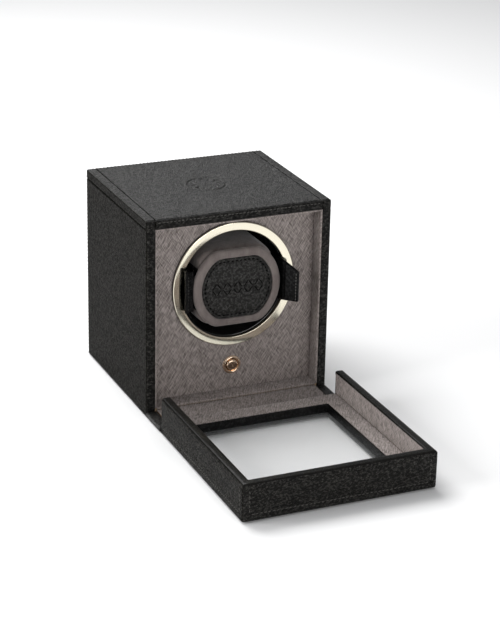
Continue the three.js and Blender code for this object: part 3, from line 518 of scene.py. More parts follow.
def panel(name, side, level, u_range, v_range, thickness, look, body, edge=1.0, grooves=(), relief=None,
          step=7.0, replaces=(), crown=0.0):
    """A leather or cloth panel: a slab with rounded edges and pressed grooves on its outer face.

    A groove is (direction, position, start, end, depth, half width), direction "u" or "v".
    """
    u_lines = [(g[1], g[5]) for g in grooves if g[0] == "v"]
    v_lines = [(g[1], g[5]) for g in grooves if g[0] == "u"]
    if relief:
        u_lines += [(m, 0.0) for m in relief["u"]]
        v_lines += [(m, 0.0) for m in relief["v"]]
    us = samples(*u_range, edge, u_lines, step)
    vs = samples(*v_range, edge, v_lines, step)
    u, v = np.meshgrid(us, vs, indexing="ij")
    to_side = np.minimum(np.minimum(u - us[0], us[-1] - u), np.minimum(v - vs[0], vs[-1] - v))
    w = -edge_drop(to_side, edge)
    if crown:
        across = 1 - ((u - (us[0] + us[-1]) / 2) / ((us[-1] - us[0]) / 2)) ** 4
        along = 1 - ((v - (vs[0] + vs[-1]) / 2) / ((vs[-1] - vs[0]) / 2)) ** 4
        w += crown * (np.clip(across * along, 0, 1) - 1)
    for direction, position, start, end, depth, half_width in grooves:
        if direction == "u":
            w -= groove_drop(v - position, u, depth, half_width, start, end)
        else:
            w -= groove_drop(u - position, v, depth, half_width, start, end)
    if relief:
        w -= relief["drop"](u, v)
    top = on_plane(side, level, u, v, w)
    rows, columns = u.shape
    ring = (
        [(i, 0) for i in range(rows)] + [(rows - 1, j) for j in range(1, columns)]
        + [(i, columns - 1) for i in range(rows - 2, -1, -1)] + [(0, j) for j in range(columns - 2, 0, -1)]
    )
    under = on_plane(side, level, [u[i, j] for i, j in ring], [v[i, j] for i, j in ring], -thickness)
    vertices = np.concatenate([top.reshape(-1, 3), under])
    faces = [
        (i * columns + j, (i + 1) * columns + j, (i + 1) * columns + j + 1, i * columns + j + 1)
        for i in range(rows - 1) for j in range(columns - 1)
    ]
    first = rows * columns
    count = len(ring)
    for k in range(count):
        (i0, j0), (i1, j1) = ring[k], ring[(k + 1) % count]
        faces.append((i0 * columns + j0, i1 * columns + j1, first + (k + 1) % count, first + k))
    faces.append(tuple(range(first, first + count)))
    return build(name, vertices, faces, look, body, replaces)


def rounded(points, radius, steps=4, closed=True):
    """A polygon with its corners rounded. radius is one number, or one for each corner."""
    count = len(points)
    radii = radius if hasattr(radius, "__len__") else [radius] * count
    made = []
    for k, point in enumerate(points):
        here = np.array(point, float)
        if radii[k] <= 0 or (not closed and k in (0, count - 1)):
            made.append(here)
            continue
        before = np.array(points[k - 1], float) - here
        after = np.array(points[(k + 1) % count], float) - here
        reach = min(radii[k], 0.49 * np.linalg.norm(before), 0.49 * np.linalg.norm(after))
        start = here + before / np.linalg.norm(before) * reach
        end = here + after / np.linalg.norm(after) * reach
        for step in range(steps + 1):
            t = step / steps
            made.append((1 - t) ** 2 * start + 2 * t * (1 - t) * here + t**2 * end)
    return np.array(made)


def band_faces(here, there, count):
    """Faces between two closed rings of vertices, numbered from here and from there."""
    return [(here + j, here + (j + 1) % count, there + (j + 1) % count, there + j) for j in range(count)]


def lathe(name, profile, centre, look, body, segments=96, replaces=(), sharp=40, radius=0.12):
    """A piece turned about the Y axis through (x, z), from a closed (radius, y) outline."""
    outline = rounded(profile, radius, 3)
    outline[:, 0] = np.maximum(outline[:, 0], 0)
    angles = np.linspace(0, 2 * math.pi, segments, endpoint=False)
    vertices = [
        (centre[0] + r * math.sin(a), y, centre[1] + r * math.cos(a)) for a in angles for r, y in outline
    ]
    count = len(outline)
    faces = []
    for i in range(segments):
        faces += band_faces(i * count, ((i + 1) % segments) * count, count)
    return build(name, vertices, tidy(vertices, faces), look, body, replaces, sharp)


def tidy(vertices, faces):
    """Faces without corners that coincide, as where a turned outline touches its axis."""
    kept = []
    for face in faces:
        corners = []
        for k in face:
            if all(np.linalg.norm(np.subtract(vertices[k], vertices[c])) > 1e-6 for c in corners):
                corners.append(k)
        if len(corners) > 2:
            kept.append(corners)
    return kept


def loft(name, rings, look, body, replaces=(), sharp=50, closed_ends=True):
    """A skin through closed rings of points, each with as many points as the next."""
    rings = [np.asarray(r, float) for r in rings]
    count = len(rings[0])
    vertices = np.concatenate(rings)
    faces = []
    for i in range(len(rings) - 1):
        faces += band_faces(i * count, (i + 1) * count, count)
    if closed_ends:
        faces.append(tuple(range(count)))
        faces.append(tuple(range((len(rings) - 1) * count, len(rings) * count)))
    return build(name, vertices, faces, look, body, replaces, sharp)


def line_normals(line):
    """Unit normals along an open line in a plane."""
    tangents = np.gradient(line, axis=0)
    tangents /= np.linalg.norm(tangents, axis=1)[:, None]
    return np.stack([-tangents[:, 1], tangents[:, 0]], axis=1)


def quarter(first, last, steps):
    """Angles in even steps of a quarter turn, in radians."""
    return [math.radians(90 * k / steps) for k in range(first, last)]


def corner_rect(low, high, corner, steps=5):
    """A rectangle with rounded corners, as a ring of points."""
    corner = max(corner, 0.02)
    (x0, y0), (x1, y1) = low, high
    ring = []
    for cx, cy, start in ((x1 - corner, y1 - corner, 0), (x0 + corner, y1 - corner, 90),
                          (x0 + corner, y0 + corner, 180), (x1 - corner, y0 + corner, 270)):
        for k in range(steps + 1):
            angle = math.radians(start + 90 * k / steps)
            ring.append((cx + corner * math.cos(angle), cy + corner * math.sin(angle)))
    return np.array(ring)


def frame_ring(name, low, high, hole_low, hole_high, stations, look, body, outer_corner=1.5, inner_corner=1.0,
               replaces=(), plane="top", level=0.0):
    """A rectangular frame. A station is (share of the way in, inset from that edge, height).

    Share 0 is the outer edge and 1 the hole's edge; the inset is towards the frame's middle.
    """
    rings = []
    for share, inset, height in stations:
        if share < 0.5:
            ring = corner_rect(np.add(low, inset), np.subtract(high, inset), outer_corner - inset)
        else:
            ring = corner_rect(np.subtract(hole_low, inset), np.add(hole_high, inset), inner_corner + inset)
        rings.append(on_plane(plane, level, ring[:, 0], ring[:, 1], height))
    rings.append(rings[0])
    return loft(name, rings, look, body, replaces, closed_ends=False)


def strip_stations(edge_out, edge_in, top, under, swell=0.0):
    """Stations for frame_ring: a flat strip with rounded long edges, and a slight swell between."""
    stations = [(0, 0, under), (0, 0, top - edge_out)]
    for a in quarter(1, 5, 4):
        stations.append((0, edge_out * (1 - math.cos(a)), top - edge_out + edge_out * math.sin(a)))
    if swell:
        stations.append((0, 5.0, top + swell))
        stations.append((1, 4.0, top + swell))
    for a in quarter(0, 4, 4):
        stations.append((1, edge_in * (1 - math.sin(a)), top - edge_in + edge_in * math.cos(a)))
    stations += [(1, 0, top - edge_in), (1, 0, under)]
    return stations


# One stitch as (place along it, girth, rise), from end to end.
THREAD_PROFILE = ((-1.0, 0.15, -0.30), (-0.78, 0.70, -0.10), (-0.4, 1.0, 0.04), (0.0, 1.0, 0.10),
                  (0.4, 1.0, 0.04), (0.78, 0.70, -0.10), (1.0, 0.15, -0.30))


def stitch_mesh(places, length, width, slant):
    """Vertices and faces of one thread pill for each (point, direction, outward)."""
    sides = 6
    vertices, faces = [], []
    for point, along, out in places:
        across = np.cross(out, along)
        turn = math.radians(slant)
        lay = along * math.cos(turn) + across * math.sin(turn)
        beside = np.cross(out, lay)
        first = len(vertices)
        for t, girth, rise in THREAD_PROFILE:
            middle = point + lay * (t * length / 2) + out * (rise * width)
            for k in range(sides):
                a = 2 * math.pi * k / sides
                vertices.append(middle + (beside * math.cos(a) + out * 0.8 * math.sin(a)) * girth * width / 2)
        rings = len(THREAD_PROFILE)
        for i in range(rings - 1):
            for k in range(sides):
                a, b = first + i * sides + k, first + i * sides + (k + 1) % sides
                faces.append((a, b, b + sides, a + sides))
        faces.append(tuple(first + k for k in range(sides)))
        faces.append(tuple(first + (rings - 1) * sides + k for k in range(sides)))
    return vertices, faces


def stitch_row(name, places, body, length=2.0, width=0.5, slant=9, look="thread"):
    vertices, faces = stitch_mesh(places, length, width, slant)
    return build(name, vertices, faces, look, body)


def straight_places(side, level, start, end, pitch=2.7):
    """Stitch places along a straight line on a plane, evenly spaced."""
    start, end = np.array(start, float), np.array(end, float)
    span = np.linalg.norm(end - start)
    count = max(1, int(span / pitch))
    a = on_plane(side, level, *start, 0.0)
    b = on_plane(side, level, *end, 0.0)
    along = (b - a) / np.linalg.norm(b - a)
    out = on_plane(side, 0.0, 0.0, 0.0, 1.0)
    return [(a + (b - a) * (k + 0.5) / count, along, out) for k in range(count)]


def keep_node(node, look, bevel=0.0):
    """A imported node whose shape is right: it gets its finish, and softened edges."""
    made = NODES[node]
    dress(made, look)
    if bevel:
        weld = made.modifiers.new("weld", "WELD")
        weld.merge_threshold = 1e-6
        soften = made.modifiers.new("soften", "BEVEL")
        soften.width = bevel * MM
        soften.segments = 3
        soften.limit_method = "ANGLE"
        soften.angle_limit = math.radians(40)
        soften.harden_normals = False
    return made


# ------------------------------------------------------------------ case

CREASE = (0.8, 0.75)  # depth and half width of a pressed line
SEAM_INSET_TOP = 6.9
SEAM_INSET_SIDE = 6.4
# The cord in each pressed line is near-black thread, a painted shade line along the crease.
SHADE_CORD_SINK = 0.55  # how deep the cord lies in its pressed line
CREASE_SHADE_CORD = (3.1, 0.8, 0, "dark_thread")  # a cord's length, width and slant, and its look
BACK_ROW = BACK - 1.6  # the row of stitches along the back edge
BACK_GROOVE = (0.2, 0.6)  # depth and half width of the line that row lies in
BACK_THREAD = (2.0, 0.75)  # length and width of those stitches


def dial_relief(centre, radius, depth):
    """A plain debossed dial: a ring with twelve short marks inside it."""
    cx, cy = centre
    reach = radius + 1.5
    marks = np.arange(-reach, reach + 0.01, 0.3)

    def drop(u, v):
        x, y = u - cx, v - cy
        r = np.hypot(x, y)
        ring = np.exp(-(((r - radius) / 0.9) ** 4))
        spoke = (np.arctan2(y, x) / (math.pi / 6) + 0.5) % 1.0 - 0.5
        arc = np.abs(spoke) * (math.pi / 6) * r
        mark = np.exp(-((arc / 0.8) ** 4)) * np.exp(-(((r - radius * 0.72) / (radius * 0.13)) ** 4))
        return depth * np.clip(ring + mark, 0, 1)

    return {"u": cx + marks, "v": cy + marks, "drop": drop}


def make_case_top():
    inset = 0.35
    seam_lines = (-HALF + SEAM_INSET_TOP, HALF - SEAM_INSET_TOP)
    grooves = [("v", x, FRONT, BACK, *CREASE) for x in seam_lines]
    grooves.append(("u", BACK_ROW, -HALF, HALF, *BACK_GROOVE))
    relief = dial_relief((0.0, (FRONT + BACK) / 2), 13.0, 0.6)
    panel("case_top_skin", "top", TOP, (-HALF + inset, HALF - inset), (FRONT + 1.5, BACK - 0.3), 1.6,
          "black_leather", "case", edge=1.0, grooves=grooves, relief=relief, replaces=["leather_top"])
    # A near-black cord in each pressed line: painted shade along the crease.
    shade_cords = []
    for x in seam_lines:
        shade_cords += straight_places("top", TOP - SHADE_CORD_SINK, (x, FRONT + 2), (x, BACK - 2))
    stitch_row("case_top_crease_shade", shade_cords, "case", *CREASE_SHADE_CORD)
    row = straight_places("top", TOP, (-HALF + 3, BACK_ROW), (HALF - 3, BACK_ROW))
    stitch_row("case_top_stitches", row, "case", *BACK_THREAD)


def make_case_sides():
    foot, head = SIDE_FOOT, TOP - 0.45
    crease_shade = TOP - SEAM_INSET_SIDE
    grooves = [("u", crease_shade, FRONT, BACK, *CREASE), ("v", BACK_ROW, foot, head, *BACK_GROOVE)]
    for side, sign in SIDES:
        level = sign * HALF
        # The sides wear the darker copy of the leather: painted shade.
        panel(f"case_{side}_skin", side, level, (FRONT + 0.3, BACK - 0.3), (foot, head), 1.15,
              "shaded_side_leather", "case", edge=0.95, grooves=grooves, replaces=[f"leather_{side}"])
        # A near-black cord in the pressed line: painted shade along the crease.
        cord = straight_places(side, level - sign * SHADE_CORD_SINK, (FRONT + 2, crease_shade), (BACK - 2, crease_shade))
        stitch_row(f"case_{side}_seam", cord, "case", *CREASE_SHADE_CORD)
        row = straight_places(side, level, (BACK_ROW, foot + 3), (BACK_ROW, head - 3))
        stitch_row(f"case_{side}_stitches", row, "case", *BACK_THREAD)


def make_edge_frame(end):
    """The leather over the front or back edges of the boards: two posts and a rail between them."""
    side, level = ("front", FRONT) if end == "front" else ("back", BACK)
    post_foot = LEDGE_TOP - 0.15 if end == "front" else SIDE_FOOT
    head = TOP - 0.5
    for name, sign in SIDES:
        across = sorted((sign * (HALF - 0.35), sign * (HALF - RIM)))
        panel(f"case_{end}_post_{name}", side, level, across, (post_foot, head), 1.3, "coarse_leather",
              "case", edge=0.75, step=5)
    half, row = HALF - RIM - 0.15, head - 1.5
    panel(f"case_{end}_rail", side, level, (-half, half), (TOP - RIM, head), 1.3, "coarse_leather",
          "case", edge=0.75, step=5, grooves=[("u", row, -half, half, 0.16, 0.6)])
    places = straight_places(side, level, (-half + 1.5, row), (half - 1.5, row))
    stitch_row(f"case_{end}_rail_stitches", places, "case")


def circle(centre, radius):
    """Points round a hole, more of them round a large one."""
    count = 96 if radius > 20 else 40
    angles = [2 * math.pi * k / count for k in range(count)]
    return [(centre[0] + radius * math.cos(a), centre[1] + radius * math.sin(a)) for a in angles]


def pierced_cloth(name, low, high, holes, front, thickness, look, body, replaces):
    """A flat cloth facing the front with round holes: it dips slightly towards each hole's edge."""
    outline = [tuple(p) for p in corner_rect(low, high, 0.6, 3)]
    loops = [outline] + [circle(centre, radius) for centre, radius in holes]
    loops += [circle(centre, radius + 0.8) for centre, radius in holes]
    points, edges = [], []
    for loop in loops:
        first = len(points)
        points += loop
        edges += [(first + k, first + (k + 1) % len(loop)) for k in range(len(loop))]
    for x in np.arange(low[0] + 4, high[0] - 3, 6.0):
        for z in np.arange(low[1] + 4, high[1] - 3, 6.0):
            if all(math.dist((x, z), centre) > radius + 2.5 for centre, radius in holes):
                points.append((x, z))
    flat, _, faces, *_ = delaunay_2d_cdt([Vector(p) for p in points], edges, [], 0, 1e-5)
    kept = []
    for face in faces:
        middle = sum((flat[k] for k in face), Vector((0, 0))) / len(face)
        if all(math.dist(middle, centre) > radius - 0.05 for centre, radius in holes):
            kept.append(list(face))
    count = len(flat)
    vertices = []
    for x, z in flat:
        gap = min(math.dist((x, z), centre) - radius for centre, radius in holes)
        side = min(x - low[0], high[0] - x, z - low[1], high[1] - z)
        dip = 0.25 * max(0.0, 1 - gap / 0.8) + edge_drop(side, 0.5)
        vertices.append((x, front + dip, z))
    vertices += [(x, front + thickness, z) for x, z in flat]
    border = {}
    for face in kept:
        for a, b in zip(face, face[1:] + face[:1]):
            border[(a, b)] = border.get((a, b), 0) + 1
    sides = [(a, b, b + count, a + count) for a, b in border if (b, a) not in border]
    back = [[k + count for k in reversed(face)] for face in kept]
    return build(name, vertices, kept + back + sides, look, body, replaces)


def make_recess():
    """Cloth over the inside of the opening, and over the panel the drum turns in."""
    for node, side in (("lining_left", "right"), ("lining_right", "left")):
        low, high = box_mm(node)
        level = high[0] if side == "right" else low[0]
        panel(f"recess_{node}", side, level, (low[1] + 0.05, high[1]), (low[2], high[2]),
              high[0] - low[0] - 0.05, "taupe_lining", "case", edge=0.5, step=6, replaces=[node])
    low, high = box_mm("lining_top")
    panel("recess_lining_top", "under", low[2], (low[0], high[0]), (low[1] + 0.05, high[1]),
          high[2] - low[2] - 0.05, "taupe_lining", "case", edge=0.5, step=6, replaces=["lining_top"])
    low, high = box_mm("front_fabric")
    holes = [((0, DRUM_Z), CUP_R + 2.0), ((0, BUTTON_Z), box_mm("button_collar")[1][0] - 1.0)]
    pierced_cloth("front_panel_cloth", low[[0, 2]] + 0.05, high[[0, 2]] - 0.05, holes, low[1],
                  high[1] - low[1] - 0.05, "taupe_lining", "case", ["front_fabric"])


def make_ledge():
    """Leather turned up round the ledge: a margin down each side and a lip at the hinge."""
    margin = HALF - (box_mm("lining_bottom")[1][0] + 0.15)
    for name, sign in SIDES:
        across = sorted((sign * (HALF - 0.1), sign * (HALF - margin)))
        panel(f"ledge_margin_{name}", "top", LEDGE_TOP, across, (LEDGE_FRONT + 0.05, FRONT + 1.1), 2.2,
              "black_leather", "case", edge=0.9, step=4)
    panel("ledge_lip", "front", LEDGE_FRONT, (-HALF + 0.1, HALF - 0.1), (BASE + 0.05, LEDGE_TOP - 0.1), 1.9,
          "black_leather", "case", edge=0.7, step=5)
    panel("base_skin", "under", BASE, (-HALF + 0.05, HALF - 0.05), (LEDGE_FRONT + 1.0, BACK - 0.05), 0.95,
          "black_leather", "case", edge=0.35, replaces=["leather_base"])


# ------------------------------------------------------------------ front metalwork


def make_trim_ring():
    """The polished ring, its sleeve into the panel, and a dark skirt where it meets the cloth: the skirt
    paints the dark reflection line round the ring's outer wall.
    """
    bore = 38.2
    back = PANEL_Y - 0.1
    crest = box_mm("trim_ring")[0][1]
    sleeve = CUP_R + 1.3
    profile = [
        (bore, back - 0.6), (bore, crest + 0.75), (bore + 0.45, crest + 0.3), (RING_R - 0.6, crest + 0.08),
        (RING_R - 0.25, crest + 0.25), (RING_R, crest + 0.6), (RING_R, back), (sleeve, back),
        (sleeve, back + 3), (sleeve - 0.7, back + 3), (sleeve - 0.7, back + 0.6), (bore, back + 0.6),
    ]
    lathe("trim_ring_polished", profile, (0, DRUM_Z), "champagne_metal", "case", 180, ["trim_ring"], 20, 0.1)
    # The skirt is near-black, a painted dark reflection round the ring's outer edge.
    inner, outer = RING_R - 0.4, RING_R + 0.06
    skirt = [(inner, crest + 0.62), (outer, crest + 0.75), (outer, back), (inner, back)]
    lathe("trim_ring_shade_skirt", skirt, (0, DRUM_Z), "gloss_black_plastic", "case", 144, (), 20, 0.05)


def make_button():
    """The collar, and the button in it with a long stem."""
    low, high = box_mm("button_collar")
    outer = (high[0] - low[0]) / 2
    bore = (box_mm("button")[1][0] - box_mm("button")[0][0]) / 2 + 0.25
    face, back = low[1], PANEL_Y - 0.1
    profile = [
        (bore, back - 0.5), (bore + 0.5, face + 0.1), (outer - 1.1, face), (outer, back - 0.5), (outer, back),
        (outer - 1.2, back), (outer - 1.2, back + 4), (bore, back + 4),
    ]
    lathe("button_collar_polished", profile, (0, BUTTON_Z), "rose_metal", "case", 72, ["button_collar"],
          25, 0.2)
    low, high = box_mm("button")
    cap = (high[0] - low[0]) / 2
    tip, end = low[1], high[1]
    stem, cap_back = 1.6, tip + 5.5
    profile = [
        (0, tip), (cap * 0.55, tip + 0.01), (cap - 0.7, tip + 0.05), (cap, tip + 0.7), (cap, cap_back),
        (stem, cap_back), (stem, end), (0, end),
    ]
    lathe("button_polished", profile, (0, BUTTON_Z), "rose_metal", "start_button", 64, ["button"], 25, 0.25)


def make_drum():
    """The cup, with a hub behind its floor that the shaft passes through."""
    low, high = box_mm("drum_cup")
    inner = CUP_R - 1.8
    shaft_bore, hub = 3.1, 9.0
    floor = box_mm("drum_shaft")[0][1] + 1.6
    cup_back = floor + 3
    profile = [
        (inner, low[1]), (CUP_R, low[1]), (CUP_R, cup_back), (hub, cup_back), (hub, high[1]),
        (shaft_bore, high[1]), (shaft_bore, floor), (inner - 1.5, floor), (inner, floor - 1.5),
    ]
    lathe("drum_cup_moulded", profile, (0, DRUM_Z), "gloss_black_plastic", "drum", 144, ["drum_cup"], 35, 0.4)


# ------------------------------------------------------------------ cuff

plate_low, plate_high = box_mm("cuff_plate")
inset_low, inset_high = box_mm("cuff_inset")
body_low, body_high = box_mm("cuff_body")


def flatted(radius, half_height, corner, count=96):
    """A disc cut flat above and below, with softened corners, as (x, z) points about the drum axis."""
    fine = 720
    angles = np.linspace(0, 2 * math.pi, 2 * fine, endpoint=False)
    x, z = radius * np.cos(angles), radius * np.sin(angles)
    z = np.clip(z, -half_height, half_height)
    # Soften: average along the outline over about the corner's own size.
    steps = np.hypot(np.diff(x, append=x[0]), np.diff(z, append=z[0]))
    place = np.concatenate([[0], np.cumsum(steps)])[:-1]
    total = steps.sum()
    even = np.linspace(0, total, fine, endpoint=False)
    x, z = np.interp(even, place, x, period=total), np.interp(even, place, z, period=total)
    reach = max(1, int(corner / (total / fine)))
    kernel = np.hanning(2 * reach + 3)[1:-1]
    kernel /= kernel.sum()
    wrap = len(kernel) // 2
    x = np.convolve(np.concatenate([x[-wrap:], x, x[:wrap]]), kernel, "valid")
    z = np.convolve(np.concatenate([z[-wrap:], z, z[:wrap]]), kernel, "valid")
    pick = (np.arange(count) * (fine / count)).astype(int)
    return np.stack([x[pick], z[pick]], axis=1)


def cuff_ring(radius, half_height, corner, y):
    outline = flatted(radius, half_height, corner)
    return np.stack([outline[:, 0], np.full(len(outline), y), DRUM_Z + outline[:, 1]], axis=1)


PLATE_R = (plate_high[0] - plate_low[0]) / 2
PLATE_H = (plate_high[2] - plate_low[2]) / 2
INSET_R = (inset_high[0] - inset_low[0]) / 2
INSET_H = (inset_high[2] - inset_low[2]) / 2


def make_cuff_plate():
    """Padded rim: it bulges forward between its outer edge and the pocket for the inset."""
    front, back = plate_low[1], plate_high[1]
    swell = 2.9
    stations = [(0.6, back), (0.1, back - 0.5), (0.0, back - 1.0)]
    for a in quarter(1, 9, 8):
        stations.append((swell * (1 - math.cos(a)), front + swell * 0.85 * (1 - math.sin(a))))
    rim_width = PLATE_R - INSET_R - 0.4
    for a in quarter(1, 5, 4):
        stations.append((rim_width - 1.1 * (1 - math.sin(a)), front + 1.1 * (1 - math.cos(a))))
    stations.append((rim_width, front + 1.9))
    taper = PLATE_H - INSET_H - 0.4  # how much lower the pocket is than the plate
    rings = [cuff_ring(PLATE_R - inset, PLATE_H - inset * taper / rim_width, 7.0, y) for inset, y in stations]
    return loft("cuff_plate_padded", rings, "cuff_suede", "cuff", ["cuff_plate"])


def make_cuff_inset():
    """Leather panel with a pressed line and stitches near its border, and a row of five stitched lozenges."""
    front, back = inset_low[1], inset_high[1]
    border = 2.1
    stations = [
        (0.3, back), (0.0, back - 0.3), (0.0, front + 0.45), (0.15, front + 0.15), (0.5, front),
        (border - 0.7, front - 0.02), (border - 0.35, front + 0.25), (border, front + 0.4),
        (border + 0.35, front + 0.22), (border + 0.8, front - 0.1), (border + 4, front - 0.25),
        (border + 10, front - 0.32),
    ]
    rings = [cuff_ring(INSET_R - inset, INSET_H - inset, 5.0, y) for inset, y in stations]
    made = loft("cuff_inset_leather", rings, "inset_leather", "cuff", ["cuff_inset"])
    outline = flatted(INSET_R - border, INSET_H - border, 5.0, 720)
    steps = np.hypot(*np.diff(outline, axis=0, append=outline[:1]).T)
    place = np.concatenate([[0], np.cumsum(steps)])
    total = place[-1]
    count = int(total / 3.0)
    closed = np.concatenate([outline, outline[:1]])
    out = np.array([0.0, -1.0, 0.0])
    places = []
    for k in range(count):
        run = total * k / count
        here = [np.interp(run, place, closed[:, c]) for c in (0, 1)]
        ahead = [np.interp((run + 0.3) % total, place, closed[:, c]) for c in (0, 1)]
        along = np.array([ahead[0] - here[0], 0, ahead[1] - here[1]])
        along /= np.linalg.norm(along)
        places.append((np.array([here[0], front + 0.3, DRUM_Z + here[1]]), along, out))
    stitch_row("cuff_inset_stitches", places, "cuff", 1.95, 1.0, 8, "dark_thread")
    half_width, half_height, pitch = 3.3, 4.6, 7.6
    marks = []
    for k in range(-2, 3):
        corners = [np.array([pitch * k + u, front - 0.3, DRUM_Z + v])
                   for u, v in ((half_width, 0), (0, half_height), (-half_width, 0), (0, -half_height))]
        for a, b in zip(corners, corners[1:] + corners[:1]):
            marks.append(((a + b) / 2, (b - a) / np.linalg.norm(b - a), out))
    side = math.hypot(half_width, half_height)
    stitch_row("cuff_inset_lozenges", marks, "cuff", side, 0.75, 0, "dark_thread")
    return made


SIM_FRAMES = 20


def inflate(name, rings, look, body, replaces, voxel, limit, is_held):
    """A stuffed skin: the rings are closed up, drawn in slightly, and swollen as cloth under pressure.

    is_held says which points are glued down. No point moves further than the limit, in millimetres.
    """
    start = loft(f"{name}_start", rings, look, None)
    middle = np.mean(np.concatenate(rings), axis=0) * MM
    for vertex in start.data.vertices:
        if not is_held(np.array(vertex.co) / MM):
            vertex.co = Vector(middle + (np.array(vertex.co) - middle) * 0.985)
    remesh = start.modifiers.new("remesh", "REMESH")
    remesh.mode = "VOXEL"
    remesh.voxel_size = voxel * MM
    graph = bpy.context.evaluated_depsgraph_get()
    mesh = bpy.data.meshes.new_from_object(start.evaluated_get(graph))
    bpy.data.objects.remove(start)
    skin = bpy.data.objects.new(f"{name}_skin", mesh)
    bpy.context.scene.collection.objects.link(skin)
    before = np.array([v.co for v in mesh.vertices])
    after = before.copy()
    group = skin.vertex_groups.new(name="held")
    group.add([k for k, co in enumerate(before) if is_held(co / MM)], 1.0, "REPLACE")
    cloth = skin.modifiers.new("cloth", "CLOTH")
    cloth.settings.quality = 6
    cloth.settings.mass = 0.3
    cloth.settings.vertex_group_mass = "held"
    cloth.settings.use_pressure = True
    cloth.settings.uniform_pressure_force = 4.0
    cloth.settings.effector_weights.gravity = 0.0
    cloth.settings.tension_stiffness = 8.0
    cloth.settings.compression_stiffness = 8.0
    cloth.settings.bending_stiffness = 0.3
    cloth.point_cache.frame_start = 1
    cloth.point_cache.frame_end = SIM_FRAMES
    for frame_number in range(1, SIM_FRAMES + 1):
        bpy.context.scene.frame_set(frame_number)
    graph = bpy.context.evaluated_depsgraph_get()
    after = np.array([v.co for v in skin.evaluated_get(graph).data.vertices])
    bpy.context.scene.frame_set(1)
    moved = after - before
    reach = np.linalg.norm(moved, axis=1)
    moved *= np.minimum(1.0, limit * MM / np.maximum(reach, 1e-9))[:, None]
    faces = [tuple(p.vertices) for p in mesh.polygons]
    bpy.data.objects.remove(skin)
    made = build(name, (before + moved) / MM, faces, look, body, replaces, 80)
    made.modifiers.new("smoothed", "SUBSURF").render_levels = 1
    return made


def make_cuff_body():
    """The foam-filled body behind the plate, rounded over at the back."""
    front = body_low[1]
    back = body_high[1]
    radius = (body_high[0] - body_low[0]) / 2 + 1.2
    half = (body_high[2] - body_low[2]) / 2 - 0.1
    waist, hips = 27.0, 33.0  # half widths where the wings lie beside it, and behind them
    wide_part = 31.5  # outside this the sides press on the drum
    shoulder = FRONT + 35.0
    rings = []
    for y, inset, wide in ((front, 2.2, waist), (front + 0.6, 0.7, waist), (front + 1.8, 0.0, waist),
                           (front + 12, -0.1, waist), (shoulder - 6, 0.0, waist), (shoulder, 0.0, waist),
                           (shoulder + 3, 0.0, hips), (back - 14, 0.0, hips), (back - 6, 0.6, hips),
                           (back - 2.5, 3.0, hips), (back - 0.8, 6.5, hips), (back, 11.0, hips)):
        ring = cuff_ring(radius - inset, half - inset, 8.0, y)
        ring[:, 0] = np.clip(ring[:, 0], -wide + max(inset - 1, 0), wide - max(inset - 1, 0))
        rings.append(ring)
    return inflate("cuff_body_padded", rings, "cuff_suede", "cuff", ["cuff_body"], 2.6, 1.1,
                   lambda point: point[1] < front + 1.2 or point[1] > back - 1.5 or abs(point[0]) > wide_part)


def make_cuff_cheeks():
    """Folded leather down each side of the body, where the wing leaves it."""
    start, end, half = FRONT + 7.2, FRONT + 33.0, 14.6
    inner = 26.2
    for name, sign in SIDES:
        rings = []
        for y in np.linspace(start, end, 53):
            fold = 0.55 * math.sin((y - start) * 1.55) + 0.25 * math.sin((y - start) * 3.9 + 1)
            near_end = min(1.0, (y - start) / 2.0, (end - y) / 2.0)
            outer = 27.5 + (1.0 + fold) * near_end
            corners = [(inner, -half), (outer, -half), (outer, half), (inner, half)]
            section = rounded(corners, [0, 0.8, 0.8, 0], 3)
            rings.append([(sign * x, y, DRUM_Z + z) for x, z in section])
        loft(f"cuff_cheek_{name}", rings, "wing_leather", "cuff")


def make_gusset():
    """Soft leather gathered in upright folds between the plate and the tucked wing."""
    folds = [(-29.6, 9.0), (-30.6, 6.2), (-31.5, 4.9), (-32.1, 4.5), (-32.6, 5.6), (-33.1, 4.3), (-33.6, 5.6),
             (-34.1, 4.2), (-34.6, 5.4), (-35.0, 6.6)]
    middle = rounded(folds, [0, 1, 0.8, 0.8, 0.5, 0.8, 0.5, 0.8, 0.5, 0], 4, closed=False)
    normals = line_normals(middle)
    share = np.linspace(0, 1, len(middle))[:, None]
    rings = []
    for z in np.linspace(-14.0, 14.5, 25):
        sway = np.array([0.35 * math.sin(z * 0.22 + 0.5), 0.5 * (z / 14.0) ** 2])
        line = middle + share * (1 - share) * 4 * sway  # the ends stay where they are sewn
        skin = np.concatenate([line + normals * 0.3, (line - normals * 0.3)[::-1]])
        rings.append([(x, FRONT + y, DRUM_Z + z) for x, y in skin])
    made = loft("cuff_gusset", rings, "wing_leather", None)
    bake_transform(made)


# Middle lines of the wings in plan, as (across, back from the case's front), from root to tip.
FLARED = [(-30.5, 32), (-31.6, 22), (-32.6, 13), (-34.2, 7.5), (-38.2, 1.5), (-42, -4)]
TUCKED = [(-30.5, 32), (-31.3, 22), (-32.2, 14.5), (-33.4, 10), (-35.2, 6.5), (-36.6, 4)]


def wing_line(points):
    """A smooth curve through the points."""
    knots = np.array(points, float)
    made = []
    extended = np.concatenate([[2 * knots[0] - knots[1]], knots, [2 * knots[-1] - knots[-2]]])
    for k in range(1, len(extended) - 2):
        p0, p1, p2, p3 = extended[k - 1: k + 3]
        for t in np.linspace(0, 1, 8, endpoint=False):
            made.append(0.5 * (2 * p1 + (p2 - p0) * t + (2 * p0 - 5 * p1 + 4 * p2 - p3) * t**2
                               + (3 * p1 - p0 - 3 * p2 + p3) * t**3))
    made.append(knots[-1])
    return np.array(made)


